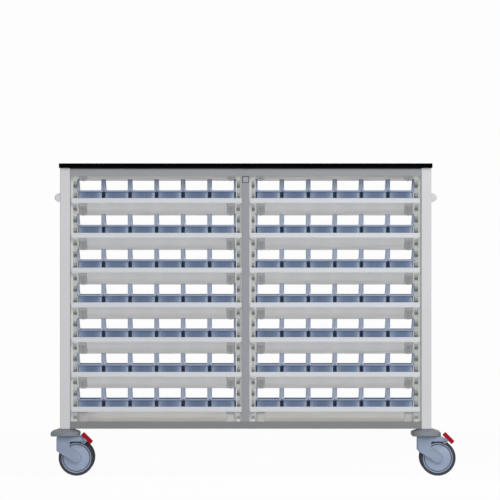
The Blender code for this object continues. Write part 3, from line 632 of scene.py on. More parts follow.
class BINCART_OT_rails(Operator):
    """Make the long rails, the dark strips of painted shadow under the worktop, the centre posts with their
    caps, and the ties
    """

    bl_idname = "bincart.rails"
    bl_label = "Rails and centre posts"

    def execute(self, context):
        sizes = context.scene.bincart_frame
        paint = powder_coat("grey_powder_coat", sizes.rail_colour)
        foot_paint = powder_coat("dark_grey_powder_coat", sizes.foot_rail_colour)
        cap_paint = powder_coat("cap_grey_coat", scaled(sizes.rail_colour, CAP_PALER))
        shadow_fill = painted_shadow_material()
        front_low, front_high = node_box("front_frame")
        rail = front_high[1] - front_low[1]
        for depth, facing in DEPTHS.items():
            node = f"{depth}_frame"
            low, high = node_box(node)
            if facing > 0:
                low[1] = high[1] - rail
            middle = (low[0] + high[0]) / 2
            lower, upper = low[2] + rail, high[2] - rail
            for level, bottom, coat in (("bottom", low[2], foot_paint), ("top", upper, paint)):
                start = (low[0], low[1], bottom)
                end = (high[0], high[1], bottom + rail)
                skin = bar(start, end, ALONG_X, sizes.rail_round, FINE_EDGE)
                piece(f"long_rail_{level}_{depth}", [skin], coat, "frame", [node])
            # A dark strip of painted shadow fills the gap between the rail and the worktop
            start = (low[0], low[1] + sizes.shadow_strip_inset, high[2] + SEAT_GAP)
            end = (high[0], high[1] - sizes.shadow_strip_inset, node_box("worktop")[0][2] - SEAT_GAP)
            skin = bar(start, end, ALONG_X, FINE_EDGE)
            piece(f"worktop_shadow_strip_{depth}", [skin], shadow_fill, "frame", [node])
            start = (middle - rail / 2, low[1], lower)
            skin = bar(start, (middle + rail / 2, high[1], upper), PLAN, sizes.rail_round, BUTT_EDGE)
            piece(f"centre_post_{depth}", [skin], paint, "frame", [node])
            face = low[1] if facing < 0 else high[1]
            middle_z = upper - rail / 2
            # A dark ring of painted shadow round the cap, and the cap over it
            for name, width, proud, material in (
                ("cap_surround", sizes.cap_size, SHADOW_RING_PROUD, shadow_fill),
                ("cap", sizes.cap_size - 2 * sizes.cap_line, CAP_PROUD, cap_paint),
            ):
                half = width / 2
                start = (middle - half, face + facing * proud, middle_z - half)
                end = (middle + half, face - facing * proud, middle_z + half)
                skin = bar(start, end, ALONG_Y, sizes.rail_round, CAP_EDGE)
                piece(f"centre_{name}_{depth}", [skin], material, "frame")
        # The ties are the part of the rear frame that lies well ahead of its rails
        points = node_points("rear_frame")
        rear = points[:, 1].max()
        inner = points[points[:, 1] < rear - 2 * rail]
        half_way = (front_low[2] + front_high[2]) / 2
        for level, side in (("bottom", -1), ("top", 1)):
            tie = inner[side * (inner[:, 2] - half_way) > 0]
            end = (tie[:, 0].max(), rear - rail + SEAT_GAP, tie[:, 2].max())
            skin = bar(tie.min(0), end, ALONG_Y, sizes.rail_round, FINE_EDGE)
            piece(f"centre_tie_bar_{level}", [skin], paint, "frame", ["rear_frame"])
        return {"FINISHED"}


# Radii of a panel's sheet edges, flange corners and rib ends, and of a rib's edges in rib thicknesses
PANEL_EDGE = 0.0004
FLANGE_ROUND = 0.0012
RIB_END_ROUND = 0.0008
RIB_ROUND = 0.4
# Painted shade, as tones, on a panel's sheet, front flange and rear flange
PANEL_PAINTED_SHADE = (-0.4, 0, -0.5)
# Tones of a rib at shares of its length, from front to back: painted shade, deepest ahead of its middle, then
# painted light behind it
RIB_SHARES = np.array((0.02, 0.22, 0.30, 0.50, 0.58, 0.88, 0.96))
RIB_PAINTED_LIGHT_AND_SHADE = np.array((-0.3, -0.3, -0.9, -0.9, 0.4, 0.4, -0.3))


class BINCART_OT_runner_panels(Operator):
    """Make the four side panels with their slanted runner ribs"""

    bl_idname = "bincart.runner_panels"
    bl_label = "Runner panels"

    def execute(self, context):
        sizes = context.scene.bincart_frame
        plastic = moulded_panel(sizes.panel_colour)
        datum = [shelf_points(f"bin_row_left_{row + 1}")[:, 1].min() for row in range(ROWS)]
        pitch = (datum[0] - datum[-1]) / (ROWS - 1) / RIBS_PER_TRAY
        below = context.scene.bincart_shelf.sheet + SEAT_GAP + sizes.rib / 2
        lowest = datum[-1] - SEAT_GAP - below
        levels = lowest + pitch * np.arange(RIBS_PER_TRAY * ROWS)
        levels = np.append(levels, shelf_points("top_cover_left")[:, 1].max() - below)
        for bay, sign in BAYS.items():
            for edge in ("outer", "inner"):
                node = f"runner_panel_{bay}_{edge}"
                low, high = node_box(node)
                towards = -sign if edge == "outer" else sign
                back = low[0] if towards > 0 else high[0]
                tip = high[0] if towards > 0 else low[0]
                face = back + towards * sizes.sheet
                skins = [bar((back, low[1], low[2]), (face, high[1], high[2]), PLAN, PANEL_EDGE)]
                lip = back + towards * sizes.flange_width
                for near, reach in ((low[1], lip), (high[1] - sizes.flange_depth, tip)):
                    end = (reach, near + sizes.flange_depth, high[2])
                    skins.append(bar((back, near, low[2]), end, PLAN, FLANGE_ROUND, FLANGE_ROUND / 2))
                tones = [even_tone(skin, tone) for skin, tone in zip(skins, PANEL_PAINTED_SHADE)]
                inside = (back + face) / 2
                section = rounded(abs(tip - inside) / 2, sizes.rib / 2, sizes.rib * RIB_ROUND, EDGE_STEPS)
                half = (high[1] - sizes.rib_end) / -PULL[1]
                for level in levels:
                    outline = section + ((tip + inside) / 2, level)
                    middle = level * PULL[2] / PULL[1]
                    ends = eased(middle - half, middle + half, RIB_END_ROUND)
                    places = middle - half + 2 * half * RIB_SHARES
                    between = np.stack((np.zeros_like(places), places), -1)
                    rows = len(ends) // 2
                    profile, along = toned_rows((
                        (ends[:rows], 0), *zip(between[:, None], RIB_PAINTED_LIGHT_AND_SHADE), (ends[rows:], RIB_PAINTED_LIGHT_AND_SHADE[-1])
                    ))
                    skins.append(swept(outline, profile, RIB))
                    tones.append(np.repeat(along, len(outline)))
                name = f"runner_side_{bay}_{edge}"
                piece(name, skins, plastic, "frame", [node], np.concatenate(tones))
        return {"FINISHED"}


# Length over which a handle steps from round to flat, and the steps of its rounded ends
GRIP_STEP = 0.0002
GRIP_END_STEPS = 5


class BINCART_OT_handles(Operator):
    """Make the round push handles, cut flat where they lie on the posts"""

    bl_idname = "bincart.handles"
    bl_label = "Push handles"

    def execute(self, context):
        sizes = context.scene.bincart_frame
        plastic = powder_coat("handle_pale_coat", sizes.post_colour)
        for side, sign in BAYS.items():
            node = f"push_handle_{side}"
            low, high = node_box(node)
            post_low, post_high = node_box(f"end_frame_{side}")
            radius = (high[2] - low[2]) / 2
            tip = low[0] if sign < 0 else high[0]
            axis = np.array((tip - sign * radius, (low[1] + high[1]) / 2, (low[2] + high[2]) / 2))
            rest = abs((post_low[0] if sign < 0 else post_high[0]) - axis[0])
            step = post_high[1] - (post_high[0] - post_low[0])
            wall = eased(-high[1], high[1], sizes.grip_end, GRIP_END_STEPS)
            cut = np.array((-step - GRIP_STEP, -step, step, step + GRIP_STEP))
            rows = len(wall) // 2
            profile = np.concatenate((wall[:rows], np.stack((np.zeros_like(cut), cut), -1), wall[rows:]))
            # A circle at each station, its inward side cut off at the post's face beyond the steps
            angle = np.arange(TURN_STEPS) * 2 * math.pi / TURN_STEPS
            radii = (radius - profile[:, 0])[:, None]
            inward = radii * np.cos(angle)
            held = np.abs(profile[:, 1]) > step
            inward[held] = np.minimum(inward[held], rest - SEAT_GAP)
            along = np.broadcast_to(profile[:, 1, None], inward.shape)
            rings = np.stack((-sign * inward, along, radii * np.sin(angle)), -1) + axis
            piece(f"push_bar_{side}", [shell(rings)], plastic, "frame", [node])
        return {"FINISHED"}


# Painted shade on a tray's sheet: how much darker it gets towards its back and its front, and the lowest tray
# all over
REAR_DIM = 0.9
FRONT_DIM = 0.2
LOWEST_DIM = 0.8
# Places along the underside of a tray's sheet where its tone is given
SHEET_STATIONS = 9
# Radii of the lip's ends and of a cover's edges
LIP_END = 0.0012
COVER_EDGE = 0.0005
# Corner radius of a channel, and how far it reaches into the sheet above
CHANNEL_ROUND = 0.006
CHANNEL_SEAT = 0.001
# A rivet's head as rows (radius, height) in rivet radii, and the rivets' places in channel lengths
RIVET_HEAD = np.array(((1, 0), (0.9, -0.2), (0.5, -0.35)))
RIVET_PLACES = np.array((-0.47, -0.2, 0.2, 0.47))


def rear_shade(skin):
    """Tone of a sheet's points by their share t of its depth from the front.

    It falls as 1 - 2 t over the rear half and as 4 t - 1 over the first quarter, and is 0 between.
    """
    along = skin[0] @ SHELF[0]
    share = (along - along.min()) / np.ptp(along)
    return REAR_DIM * np.minimum(0, 1 - 2 * share) - FRONT_DIM * np.maximum(0, 1 - 4 * share)


def channel_skins(sizes, ahead, rear, under, lowest, sides):
    """Two channels below a sheet, each a round-cornered outline that narrows downwards, with rivets."""
    across = SHELF[[0, 2, 1]]
    channels, rivets = [], []
    depth = (under - lowest) / 2
    middle = (rear + ahead) / 2
    for side in sides:
        outline = rounded((rear - ahead) / 2, sizes.channel_width / 2, CHANNEL_ROUND) + (middle, side)
        wall = np.array(((0, under + CHANNEL_SEAT), (0, lowest + depth), (depth, lowest)))
        channels.append(swept(outline, wall, across))
        head = RIVET_HEAD * sizes.rivet + (0, lowest)
        for place in middle + (rear - ahead) * RIVET_PLACES:
            rivets.append(turned(head, across, np.array((place, 0, side)) @ SHELF, steps=RIVET_STEPS))
    return channels, rivets


class BINCART_OT_trays(Operator):
    """Make the trays with their front lips, rear upstands and riveted channels, and the top covers"""

    bl_idname = "bincart.trays"
    bl_label = "Trays"

    def execute(self, context):
        sizes = context.scene.bincart_shelf
        plastic = tray_plastic("tray_smooth_plastic", sizes.tray_colour)
        lip_plastic = tray_plastic("lip_smooth_plastic", sizes.lip_colour)
        grey = powder_coat("channel_grey_coat", sizes.channel_colour)
        steel = zinc_steel()
        first = shelf_points("tray_left_1")
        bins = shelf_points("bin_row_left_1")
        low, high = first.min(0), first.max(0)
        centre = (low[2] + high[2]) / 2
        datum = bins[:, 1].min()
        lip_part = first[first[:, 0] < low[0] + sizes.lip / 2]
        front = low[0]
        lip_half = (sizes.lip / 2, np.ptp(lip_part[:, 1]) / 2)
        lip_middle = np.array((front + lip_half[0], (lip_part[:, 1].min() + lip_part[:, 1].max()) / 2))
        lip_outline = rounded(*lip_half, sizes.lip_round) + lip_middle
        lip = swept(lip_outline, eased(low[2], high[2], LIP_END), SHELF)
        start, end = front + sizes.lip - sizes.lip_round, high[0]
        top = datum - SEAT_GAP
        upstand = first[first[:, 0] > end - sizes.sheet / 2, 1].max()
        below = np.linspace(start, end, SHEET_STATIONS)
        floor = np.concatenate((
            np.column_stack((below, np.full(len(below), top - sizes.sheet))),
            ((end, upstand), (end - sizes.sheet, upstand), (end - sizes.sheet, top), (start, top)),
        ))
        sides = (low[2] + sizes.side_gap, high[2] - sizes.side_gap)
        sheet = swept(floor, eased(*sides, FINE_EDGE, 1), SHELF)
        shade = rear_shade(sheet)
        across = np.ptp(bins[:, 2]) / 2 - sizes.channel_inset - sizes.channel_width / 2
        under, rear = top - sizes.sheet, end - sizes.channel_rear
        ahead = front + sizes.channel_front
        sides_at = (centre - across, centre + across)
        channels, rivets = channel_skins(sizes, ahead, rear, under, low[1], sides_at)
        parts = {
            "shelf_tray": ([sheet], plastic),
            "tray_lip": ([lip], lip_plastic),
            "tray_channels": (channels, grey),
            "tray_rivets": (rivets, steel),
        }
        for bay in BAYS:
            for row in range(1, ROWS + 1):
                node, body = f"tray_{bay}_{row}", f"shelf_{bay}_{row}"
                shift = node_box(node)[0] - node_box("tray_left_1")[0]
                for name, (skins, material) in parts.items():
                    placed = [moved(skin, shift) for skin in skins]
                    tone = shade - LOWEST_DIM * (row == ROWS) if material == plastic else None
                    piece(f"{name}_{bay}_{row}", placed, material, body, [node], tone)
        for bay in BAYS:
            node = f"top_cover_{bay}"
            points = shelf_points(node)
            low, high = points.min(0), points.max(0)
            corner = (low[0], high[1] - sizes.sheet, low[2])
            sheet = bar(np.array(corner) @ SHELF, high @ SHELF, SHELF, COVER_EDGE)
            middle = (low[2] + high[2]) / 2
            ahead, rear = low[0] + sizes.channel_front, high[0] - sizes.channel_rear
            sides_at = (middle - across, middle + across)
            channels, rivets = channel_skins(sizes, ahead, rear, corner[1], low[1], sides_at)
            parts = {"sheet": ([sheet], plastic), "channels": (channels, grey), "rivets": (rivets, steel)}
            for name, (skins, material) in parts.items():
                tone = rear_shade(sheet) if material == plastic else None
                piece(f"cover_{name}_{bay}", skins, material, "frame", [node], tone)
        return {"FINISHED"}


# Painted shade in the middle of a bin's front and painted light towards its corners, as tones at shares of
# its half width; the second and third shares are points of its outline
FRONT_PAINTED_LIGHT_AND_SHADE = ((0, 0.33, 0.66, 0.85, 1), (-0.5, -0.35, 0.05, 0.3, 1.0))
# How much painted light the side rims get, and the painted shade on the wide back between two bins
SIDE_RIM_PAINTED_LIGHT = 0.1
WING_PAINTED_SHADE = -1.0
# Where the side's points lie: how far behind the front land they start, how many there are along
# the slope and behind it, and how far the latter keep from the slope and from the back
SLOPE_LEAD, SLOPE_POINTS, SIDE_POINTS, SIDE_MARGIN = 0.004, 8, 4, 0.03
# Share of the rim's ramp that is an S-curve and not a straight line
RAMP_SOFTNESS = 0.25
# Radii of the rim's edges and of the wide back's, and the rim's inner depth, in wall thicknesses
RIM_EDGE, WING_EDGE, RIM_INSIDE = 0.45, 0.3, 0.8
# Height over which the shade below the rim fades, how much a corner's radius shrinks for each
# metre that its ring lies inside the rim, and the least radius
RIM_FADE, CORNER_SHRINK, LEAST_CORNER = 0.004, 0.3, 0.003


def bin_ring(half_x, length_u, radius, stations, corner=4):
    """A bin's outline in plan, from the middle of the front round to it again.

    Each half runs along the front, round a quarter arc, back along the side through the given
    stations, round a quarter arc and along the back; the other half mirrors it.
    """
    front = np.outer(FRONT_PAINTED_LIGHT_AND_SHADE[0][1:3], (half_x, 0))
    near = arc((half_x - radius, radius), radius, -math.pi / 2, 0, corner)
    side = np.stack((np.full(len(stations), half_x), stations), -1)
    far = arc((half_x - radius, length_u - radius), radius, 0, math.pi / 2, corner)
    half = np.concatenate((front, near, side, far, (front * (1, 0) + (0, length_u))[::-1]))
    return np.concatenate((half, (half * (-1, 1))[::-1]))


def rim_height(along, low, high, start, run):
    """Height of a bin's rim: low at the front, high at the back, with a ramp r from 0 to 1 between.

    The ramp is straight in part, and in part the S-curve r r (3 - 2 r).
    """
    ramp = np.clip((along - start) / run, 0, 1)
    soft = ramp * ramp * (3 - 2 * ramp)
    return low + (high - low) * ((1 - RAMP_SOFTNESS) * ramp + RAMP_SOFTNESS * soft)


def bin_skins(sizes, width, depth, low, high):
    """An open bin and the tone of its points: rings up inside, over the turned-down rim and down outside.

    A row of the table is (half width, front, height, share of the rim's height, tone).  The tone is
    painted light and shade: it dips in the middle of the front, rises towards its corners, is paler
    on the rim and darker under it, and is higher on the side rims.
    A wing at each side widens the back as far as the rim.
    """
    wall, foot, drop, end = sizes.bin_wall, sizes.bin_foot, sizes.rim_depth, sizes.rim_end
    rim = width / 2 - sizes.rim_gap
    body = width / 2 - sizes.rim_side
    start, run = sizes.front_land, sizes.slope_run
    stations = np.concatenate((
        np.linspace(start, start + run, SLOPE_POINTS) + SLOPE_LEAD,
        np.linspace(start + run + SIDE_MARGIN, depth - SIDE_MARGIN, SIDE_POINTS),
    ))
    soft, inside = wall * RIM_EDGE, wall * RIM_INSIDE
    angle = np.linspace(0, math.pi / 2, EDGE_STEPS + 1)
    inner = [(foot * (1 - math.sin(a)) + wall, wall + foot * (1 - math.cos(a)), 0, -0.2) for a in angle]
    outer = [(foot * (1 - math.sin(a)), foot * (1 - math.cos(a)), 0, 0) for a in angle[::-1]]
    over = [(wall, -soft, 1, -0.3), (wall - soft, 0, 1, 0.2)]
    rows = [(body - i, end + i, v, s, t) for i, v, s, t in inner + over]
    turn_down = (
        (soft, 0, 0.5), (0, -soft, 0.4), (0, -drop, 0.35), (inside, -drop, -0.5), (inside, -wall, -1)
    )
    rows += [(rim - i, min(i, end), v, 1, t) for i, v, t in turn_down]
    rows += [(body, end, -v, 1, t) for v, t in ((wall, -1), (drop, -0.8), (drop + RIM_FADE, -0.1))]
    rows += [(body - i, end + i, v, s, t) for i, v, s, t in outer]
    rings, tones = [], []
    for half, front, height, share, tone in rows:
        radius = max(sizes.bin_corner - (rim - half) * CORNER_SHRINK, LEAST_CORNER)
        ring = bin_ring(half, depth - 2 * front, radius, stations - front) + (0, front)
        top = rim_height(ring[:, 1], low, high, start, run)
        rings.append(np.column_stack((ring[:, 1], height + share * top, ring[:, 0])))
        ahead = ring[:, 1] < front + radius
        bend = np.interp(np.abs(ring[:, 0]) / half, *FRONT_PAINTED_LIGHT_AND_SHADE) if half <= body else 0
        tones.append(np.where(ahead, tone + bend, tone + SIDE_RIM_PAINTED_LIGHT * share))
    far = depth - end
    wings = []
    for side in (-1, 1):
        low_corner = np.array((far - wall, wall / 2, side * (body - wall / 2)))
        high_corner = np.array((far, high - wall, side * (width / 2 - WING_GAP)))
        wings.append(bar(low_corner @ SHELF, high_corner @ SHELF, SHELF, wall * WING_EDGE))
    tones += [even_tone(wing, WING_PAINTED_SHADE) for wing in wings]
    return [shell(np.array(rings) @ SHELF), *wings], np.concatenate(tones)


class BINCART_OT_bins(Operator):
    """Make every picking bin as a piece of its own on its tray"""

    bl_idname = "bincart.bins"
    bl_label = "Bins"

    def execute(self, context):
        sizes = context.scene.bincart_shelf
        plastic = bin_plastic(sizes.bin_colour, sizes.bin_painted_light, sizes.bin_painted_shade)
        first = shelf_points("bin_row_left_1")
        low, high = first.min(0), first.max(0)
        width = (high[2] - low[2]) / BINS_PER_TRAY
        front_top = first[first[:, 0] < low[0] + sizes.bin_wall / 2, 1].max()
        skins, tone = bin_skins(sizes, width, high[0] - low[0], front_top - low[1], high[1] - low[1])
        for bay in BAYS:
            for row in range(1, ROWS + 1):
                node = f"bin_row_{bay}_{row}"
                corner = shelf_points(node).min(0)
                for place in range(BINS_PER_TRAY):
                    shift = (corner + (0, 0, (place + 0.5) * width)) @ SHELF
                    name = f"bin_{bay}_{row}_{place + 1}"
                    shape = [moved(skin, shift) for skin in skins]
                    piece(name, shape, plastic, f"shelf_{bay}_{row}", [node], tone)
        return {"FINISHED"}


def caster_places(corner):
    """The stem's point and the axle's point of a caster."""
    stem = np.array(JOINTS[f"swivel_{corner}"]["pos_m"], float)
    axle = np.array(JOINTS[f"roll_{corner}"]["pos_m"], float)
    return stem, axle


def fork_half_width():
    """Half the width over a fork's legs, read from a rear fork, which has no pin for a pedal."""
    low, high = node_box("caster_fork_rear_left")
    return (high[1] - low[1]) / 2


# Radii of a bumper's lower edge, upper edge and crown
LOWER_ROUND, UPPER_ROUND, CROWN_ROUND = 0.005, 0.007, 0.002
# A bumper's underside as rows (distance inside its rim, height)
BUMPER_UNDER = np.array(((0.016, 0.003), (0.014, 0), (0.012, 0)))


class BINCART_OT_bumpers(Operator):
    """Make the hat-shaped bumper discs under the posts"""

    bl_idname = "bincart.bumpers"
    bl_label = "Caster bumpers"

    def execute(self, context):
        sizes = context.scene.bincart_caster
        plastic = caster_plastic("bumper_grey_plastic", sizes.bumper_colour, 0.58)
        for corner in CORNERS:
            node = f"caster_bumper_{corner}"
            low, high = node_box(node)
            stem, _ = caster_places(corner)
            radius = (high[0] - low[0]) / 2
            bottom = stem[2]
            top = node_box(f"end_frame_{corner.split('_')[1]}")[0][2] - SEAT_GAP
            rim = bottom + sizes.bumper_rim
            under = BUMPER_UNDER * (-1, 1) + (radius, bottom)
            middle = (radius - LOWER_ROUND, bottom + LOWER_ROUND)
            lower = arc(middle, LOWER_ROUND, -math.pi / 2, 0, 5)
            middle = (radius - UPPER_ROUND, rim - UPPER_ROUND)
            upper = arc(middle, UPPER_ROUND, 0, math.radians(60), 6)
            middle = (sizes.bumper_crown - CROWN_ROUND, top - CROWN_ROUND)
            crown = arc(middle, CROWN_ROUND, math.radians(50), math.pi / 2, 3)
            # Painted shade on the underside, the bottom of the lower round and the crown, and painted light
            # on the upright rim
            profile, tone = toned_rows((
                (under, -1.0), (lower[:3], -0.7), (lower[3:], 0.3), (upper, 0.3), (crown, -0.3)
            ))
            skin = turned(profile, PLAN, (stem[0], stem[1], 0))
            tone = np.repeat(tone, TURN_STEPS)
            piece(f"bumper_disc_{corner}", [skin], plastic, "frame", [node], tone)
        return {"FINISHED"}


# Radii of the fork's slot corner, shoulder and knee, and how far the knee's arc lies above the knee
SLOT_ROUND, SHOULDER_ROUND, KNEE_ROUND, KNEE_LIFT = 0.003, 0.006, 0.008, 0.0025
# Angle of the brow behind the nose, measured from upright, and where the hood's nose starts
BROW_SLANT = math.pi / 3
NOSE_START = 0.1
# Steps of the boss and the nose, and of the arch over the wheel
BOSS_STEPS, ARCH_STEPS = 16, 30
# An axle's head as rows (radius in axle radii, distance beyond the leg's face)
AXLE_HEAD = np.array(((1.6, -0.001), (1.6, 0.0006), (1.4, 0.001)))
# How far the axle reaches into each leg, and the play round it in the hub
AXLE_SEAT = 0.001
AXLE_PLAY = 0.0004
# Painted shade, as tones, on the hood, on a leg's inner edge and at the start of its rounded outer edge
HOOD_PAINTED_SHADE, LEG_INNER_PAINTED_SHADE, LEG_EDGE_PAINTED_SHADE = -0.3, -0.5, -0.7


def fork_outlines(sizes, axle, top, pin, arch, slot_end):
    """The fork seen from the side, as two outlines: a whole leg, and the hood over the wheel.

    The leg's back edge drops to a knee and runs straight to a round end at the axle; its front edge
    runs back up beside it to the upright end of a slot, and the ledge over that slot reaches
    forward to a round nose at the pedal's pin.
    """
    back = axle[0] - arch - sizes.back_wall
    knee = np.array((back, axle[1] + sizes.knee_rise))
    reach = axle - knee
    slant = math.atan2(reach[1], reach[0]) - math.asin(sizes.axle_boss / math.hypot(*reach))
    boss = arc(axle, sizes.axle_boss, slant - math.pi / 2, slant + math.pi / 2, BOSS_STEPS)
    ledge = pin[1] - sizes.ledge_drop
    foot = boss[-1, 1] + (slot_end - boss[-1, 0]) * math.tan(slant)
    slot = np.array(((slot_end, foot), (slot_end, ledge - SLOT_ROUND), (slot_end + SLOT_ROUND, ledge)))
    meet = math.pi + math.asin(sizes.ledge_drop / sizes.nose)
    nose = arc(pin, sizes.nose, meet, 2 * math.pi + BROW_SLANT, BOSS_STEPS)
    brow = np.array((nose[-1, 0] - (top - nose[-1, 1]) * math.tan(BROW_SLANT), top))
    middle = (back + SHOULDER_ROUND, top - SHOULDER_ROUND)
    shoulder = arc(middle, SHOULDER_ROUND, math.pi / 2, math.pi, 5)
    knee_bend = arc(knee + (KNEE_ROUND, KNEE_LIFT), KNEE_ROUND, math.pi, math.pi + math.pi / 5, 3)
    leg = np.concatenate((shoulder, knee_bend, boss, slot, nose, brow[None]))
    left = math.pi - math.asin((knee[1] - axle[1]) / arch)
    right = math.asin((pin[1] - axle[1]) / arch)
    over = arc(axle, arch, left, right, ARCH_STEPS)
    tip = arc(pin, sizes.nose, NOSE_START, BROW_SLANT, 4)
    hood = np.concatenate((shoulder, [(back, over[0, 1])], over, tip, brow[None]))
    return leg, hood


class BINCART_OT_forks(Operator):
    """Make the caster forks: a hood over the wheel and a slanted leg on each side"""

    bl_idname = "bincart.forks"
    bl_label = "Caster forks"

    def execute(self, context):
        sizes = context.scene.bincart_caster
        plastic = caster_plastic("fork_blue_grey_plastic", sizes.fork_colour, 0.48)
        steel = zinc_steel()
        pin_offset = np.subtract(
            JOINTS["brake_front_left"]["pos_m"], JOINTS["swivel_front_left"]["pos_m"]
        )[[0, 2]]
        half, edge = fork_half_width(), sizes.fork_edge
        inside = half - sizes.leg
        # A leg's rows (inset, distance from the wheel's middle): its inner edge, then a quarter round
        angle = np.linspace(0, math.pi / 2, EDGE_STEPS + 1)
        rounding = np.stack((edge * (1 - np.cos(angle)), half - edge + edge * np.sin(angle)), -1)
        leg_rows = np.concatenate((((0, inside),), rounding))
        leg_painted_shade = np.append(LEG_INNER_PAINTED_SHADE, np.linspace(LEG_EDGE_PAINTED_SHADE, 0, EDGE_STEPS + 1))
        head = AXLE_HEAD * (sizes.axle, 1) + (0, half)
        for corner in CORNERS:
            node, body = f"caster_fork_{corner}", f"caster_{corner}"
            stem, axle = caster_places(corner)
            top, pin = node_box(node)[1][2], stem[[0, 2]] + pin_offset
            arch, slot_end = axle[2] + sizes.arch_gap, stem[0] + sizes.slot_end
            leg, hood = fork_outlines(sizes, axle[[0, 2]], top, pin, arch, slot_end)
            middle = (0, stem[1], 0)
            skins = [swept(hood, np.array(((0, -inside), (0, inside))), ALONG_Y, middle)]
            skins += [swept(leg, leg_rows * (1, side), ALONG_Y, middle) for side in (-1, 1)]
            tones = [even_tone(skins[0], HOOD_PAINTED_SHADE)] + [np.repeat(leg_painted_shade, len(leg))] * 2
            for side in (-1, 1):
                skins.append(turned(head * (1, side), ALONG_Y, axle, steps=AXLE_STEPS))
                tones.append(even_tone(skins[-1], 0))
            tone = np.concatenate(tones)
            piece(f"fork_body_{corner}", skins, plastic, body, [node], tone)
            ends = ((sizes.axle, -inside - AXLE_SEAT), (sizes.axle, inside + AXLE_SEAT))
            shaft = turned(ends, ALONG_Y, axle, steps=AXLE_STEPS)
            piece(f"fork_axle_{corner}", [shaft], steel, body)
        return {"FINISHED"}


def both_sides(half, tone, steps):
    """A wheel's half profile and its tones, mirrored; the first row, in the middle, isn't repeated."""
    profile = np.concatenate((half, (half * (1, -1))[::-1][:-1]))
    return profile, np.repeat(np.concatenate((tone, tone[::-1][:-1])), steps)


# Radii and bevels of the hub's edges, how far the inner end of its disc and its boss lie above its
# face, how far below the face the groove's walls start, and how far the disc ends before the boss
HUB_ROUND, HUB_BEVEL, BORE_BEVEL = 0.0009, 0.0008, 0.001
DISC_RISE, BOSS_RISE = 0.0018, 0.003
RING_DROP, DISC_DROP, DISC_END = 0.001, 0.0034, 0.004
DISC_POINTS = 7
CROWN_POINTS = 9
# The tyre's bead as rows (distance above the bead, distance inside the tyre's side), and how much
# of its bulge the crown falls
TYRE_BEAD = np.array(((0.0016, 0.0006), (0.0004, 0.0022), (0, 0.004)))
CROWN_FALL = 0.75
# Tones of the tyre from the end of the crown to the bead, painted light on its side and painted
# shade at the bead, and the parting line round the tread as rows (height over the tread, distance
# from its middle)
BEAD_PAINTED_LIGHT_AND_SHADE = (0.5, 1.0, 0.3, -0.5, -0.5)
TREAD_LINE = np.array(((-0.0003, 0), (0, 0.0006)))
# How much paler than the forks the hubs are
HUB_PALER = 1.12


class BINCART_OT_wheels(Operator):
    """Make the wheels: a hub with a raised ring and a coned disc, in a soft tyre"""

    bl_idname = "bincart.wheels"
    bl_label = "Wheels"

    def execute(self, context):
        sizes = context.scene.bincart_caster
        plastic = caster_plastic("hub_blue_grey_plastic", scaled(sizes.fork_colour, HUB_PALER), 0.44)
        rubber = tyre_rubber(sizes.tyre_colour)
        for corner in CORNERS:
            body, tyre = f"wheel_{corner}", f"tyre_{corner}"
            _, axle = caster_places(corner)
            low, high = node_box(tyre)
            side = (high[1] - low[1]) / 2
            radius = axle[2]
            bead = radius - sizes.tyre_depth
            face = side - sizes.hub_inset
            ring, rim = bead - sizes.hub_ring, bead - SEAT_GAP
            disc = ring - sizes.hub_groove
            groove = face - sizes.hub_groove
            bore = sizes.axle + AXLE_PLAY
            dish = np.linspace(disc - HUB_BEVEL, sizes.hub_boss + DISC_END, DISC_POINTS)
            # The disc rises evenly from its edge, below the face, to the foot of the boss
            rise = DISC_RISE - sizes.hub_cone * (dish - dish[-1]) / (dish[0] - dish[-1])
            corner_arc = arc((ring + HUB_ROUND, face - HUB_ROUND), HUB_ROUND, math.pi / 2, math.pi, 3)
            boss = face + BOSS_RISE
            # Painted light on the raised ring and painted shade in the groove inside it
            rows, tone = toned_rows((
                (((rim, 0), (rim, face - HUB_BEVEL), (bead - HUB_ROUND, face)), 0.4),
                (corner_arc, 0.4),
                (((ring, face - RING_DROP), (ring, groove), (disc, groove), (disc, face - DISC_DROP)), -1.0),
                (np.stack((dish, face + rise), -1), 0.0),
                (((sizes.hub_boss, boss), (bore + BORE_BEVEL, boss), (bore, boss - BORE_BEVEL)), 0.0),
            ))
            profile, tone = both_sides(rows, tone, HUB_STEPS)
            skin = turned(profile, ALONG_Y, axle, looped=True, steps=HUB_STEPS)
            node = f"wheel_hub_{corner}"
            piece(f"hub_{corner}", [skin], plastic, body, [node], tone)
            flat = sizes.tread_width / 2
            bulge = side - flat
            # The crown is a quarter ellipse from the tread's flat to the tyre's side
            angle = np.linspace(0, math.pi / 2, CROWN_POINTS)
            fall = bulge * CROWN_FALL * (1 - np.cos(angle))
            crown = np.stack((radius - fall, flat + bulge * np.sin(angle)), -1)
            wall = TYRE_BEAD * (1, -1) + (bead, side)
            rows = np.concatenate((TREAD_LINE + (radius, 0), crown, wall))
            tone = np.concatenate((np.zeros(len(rows) - len(BEAD_PAINTED_LIGHT_AND_SHADE)), BEAD_PAINTED_LIGHT_AND_SHADE))
            profile, tone = both_sides(rows, tone, TYRE_STEPS)
            skin = turned(profile, ALONG_Y, axle, looped=True, steps=TYRE_STEPS)
            piece(f"tyre_ring_{corner}", [skin], rubber, body, [tyre], tone)
        return {"FINISHED"}


# How the foot bar slants, the radius of its ends and that of the edges of its ears and ridges, and
# how far the ears lie inside its ends
PEDAL_TILT = -math.pi / 4
BAR_END = 0.003
PEDAL_EDGE = 0.0008
EAR_INSET = 0.0006
# The ridges on the foot bar: half their width and height, corner radius, how deep they sit, how far
# they keep from the bar's ends, how many there are and the share of the bar that they take
RIDGE_HALF = (0.0016, 0.0012)
RIDGE_ROUND, RIDGE_SEAT, RIDGE_MARGIN = 0.0009, 0.0002, 0.006
RIDGES, RIDGE_SPREAD = 6, 0.75
# How much darker the ears are than the forks, and the pins than the bumpers
EAR_DARKER, PIN_DARKER = 0.8, 0.4
# A pin's head as rows (radius, distance inside the pedal's end)
PIN_HEAD = np.array(((0.0032, 0.001), (0.0032, 0.0006), (0.0026, 0.0002)))


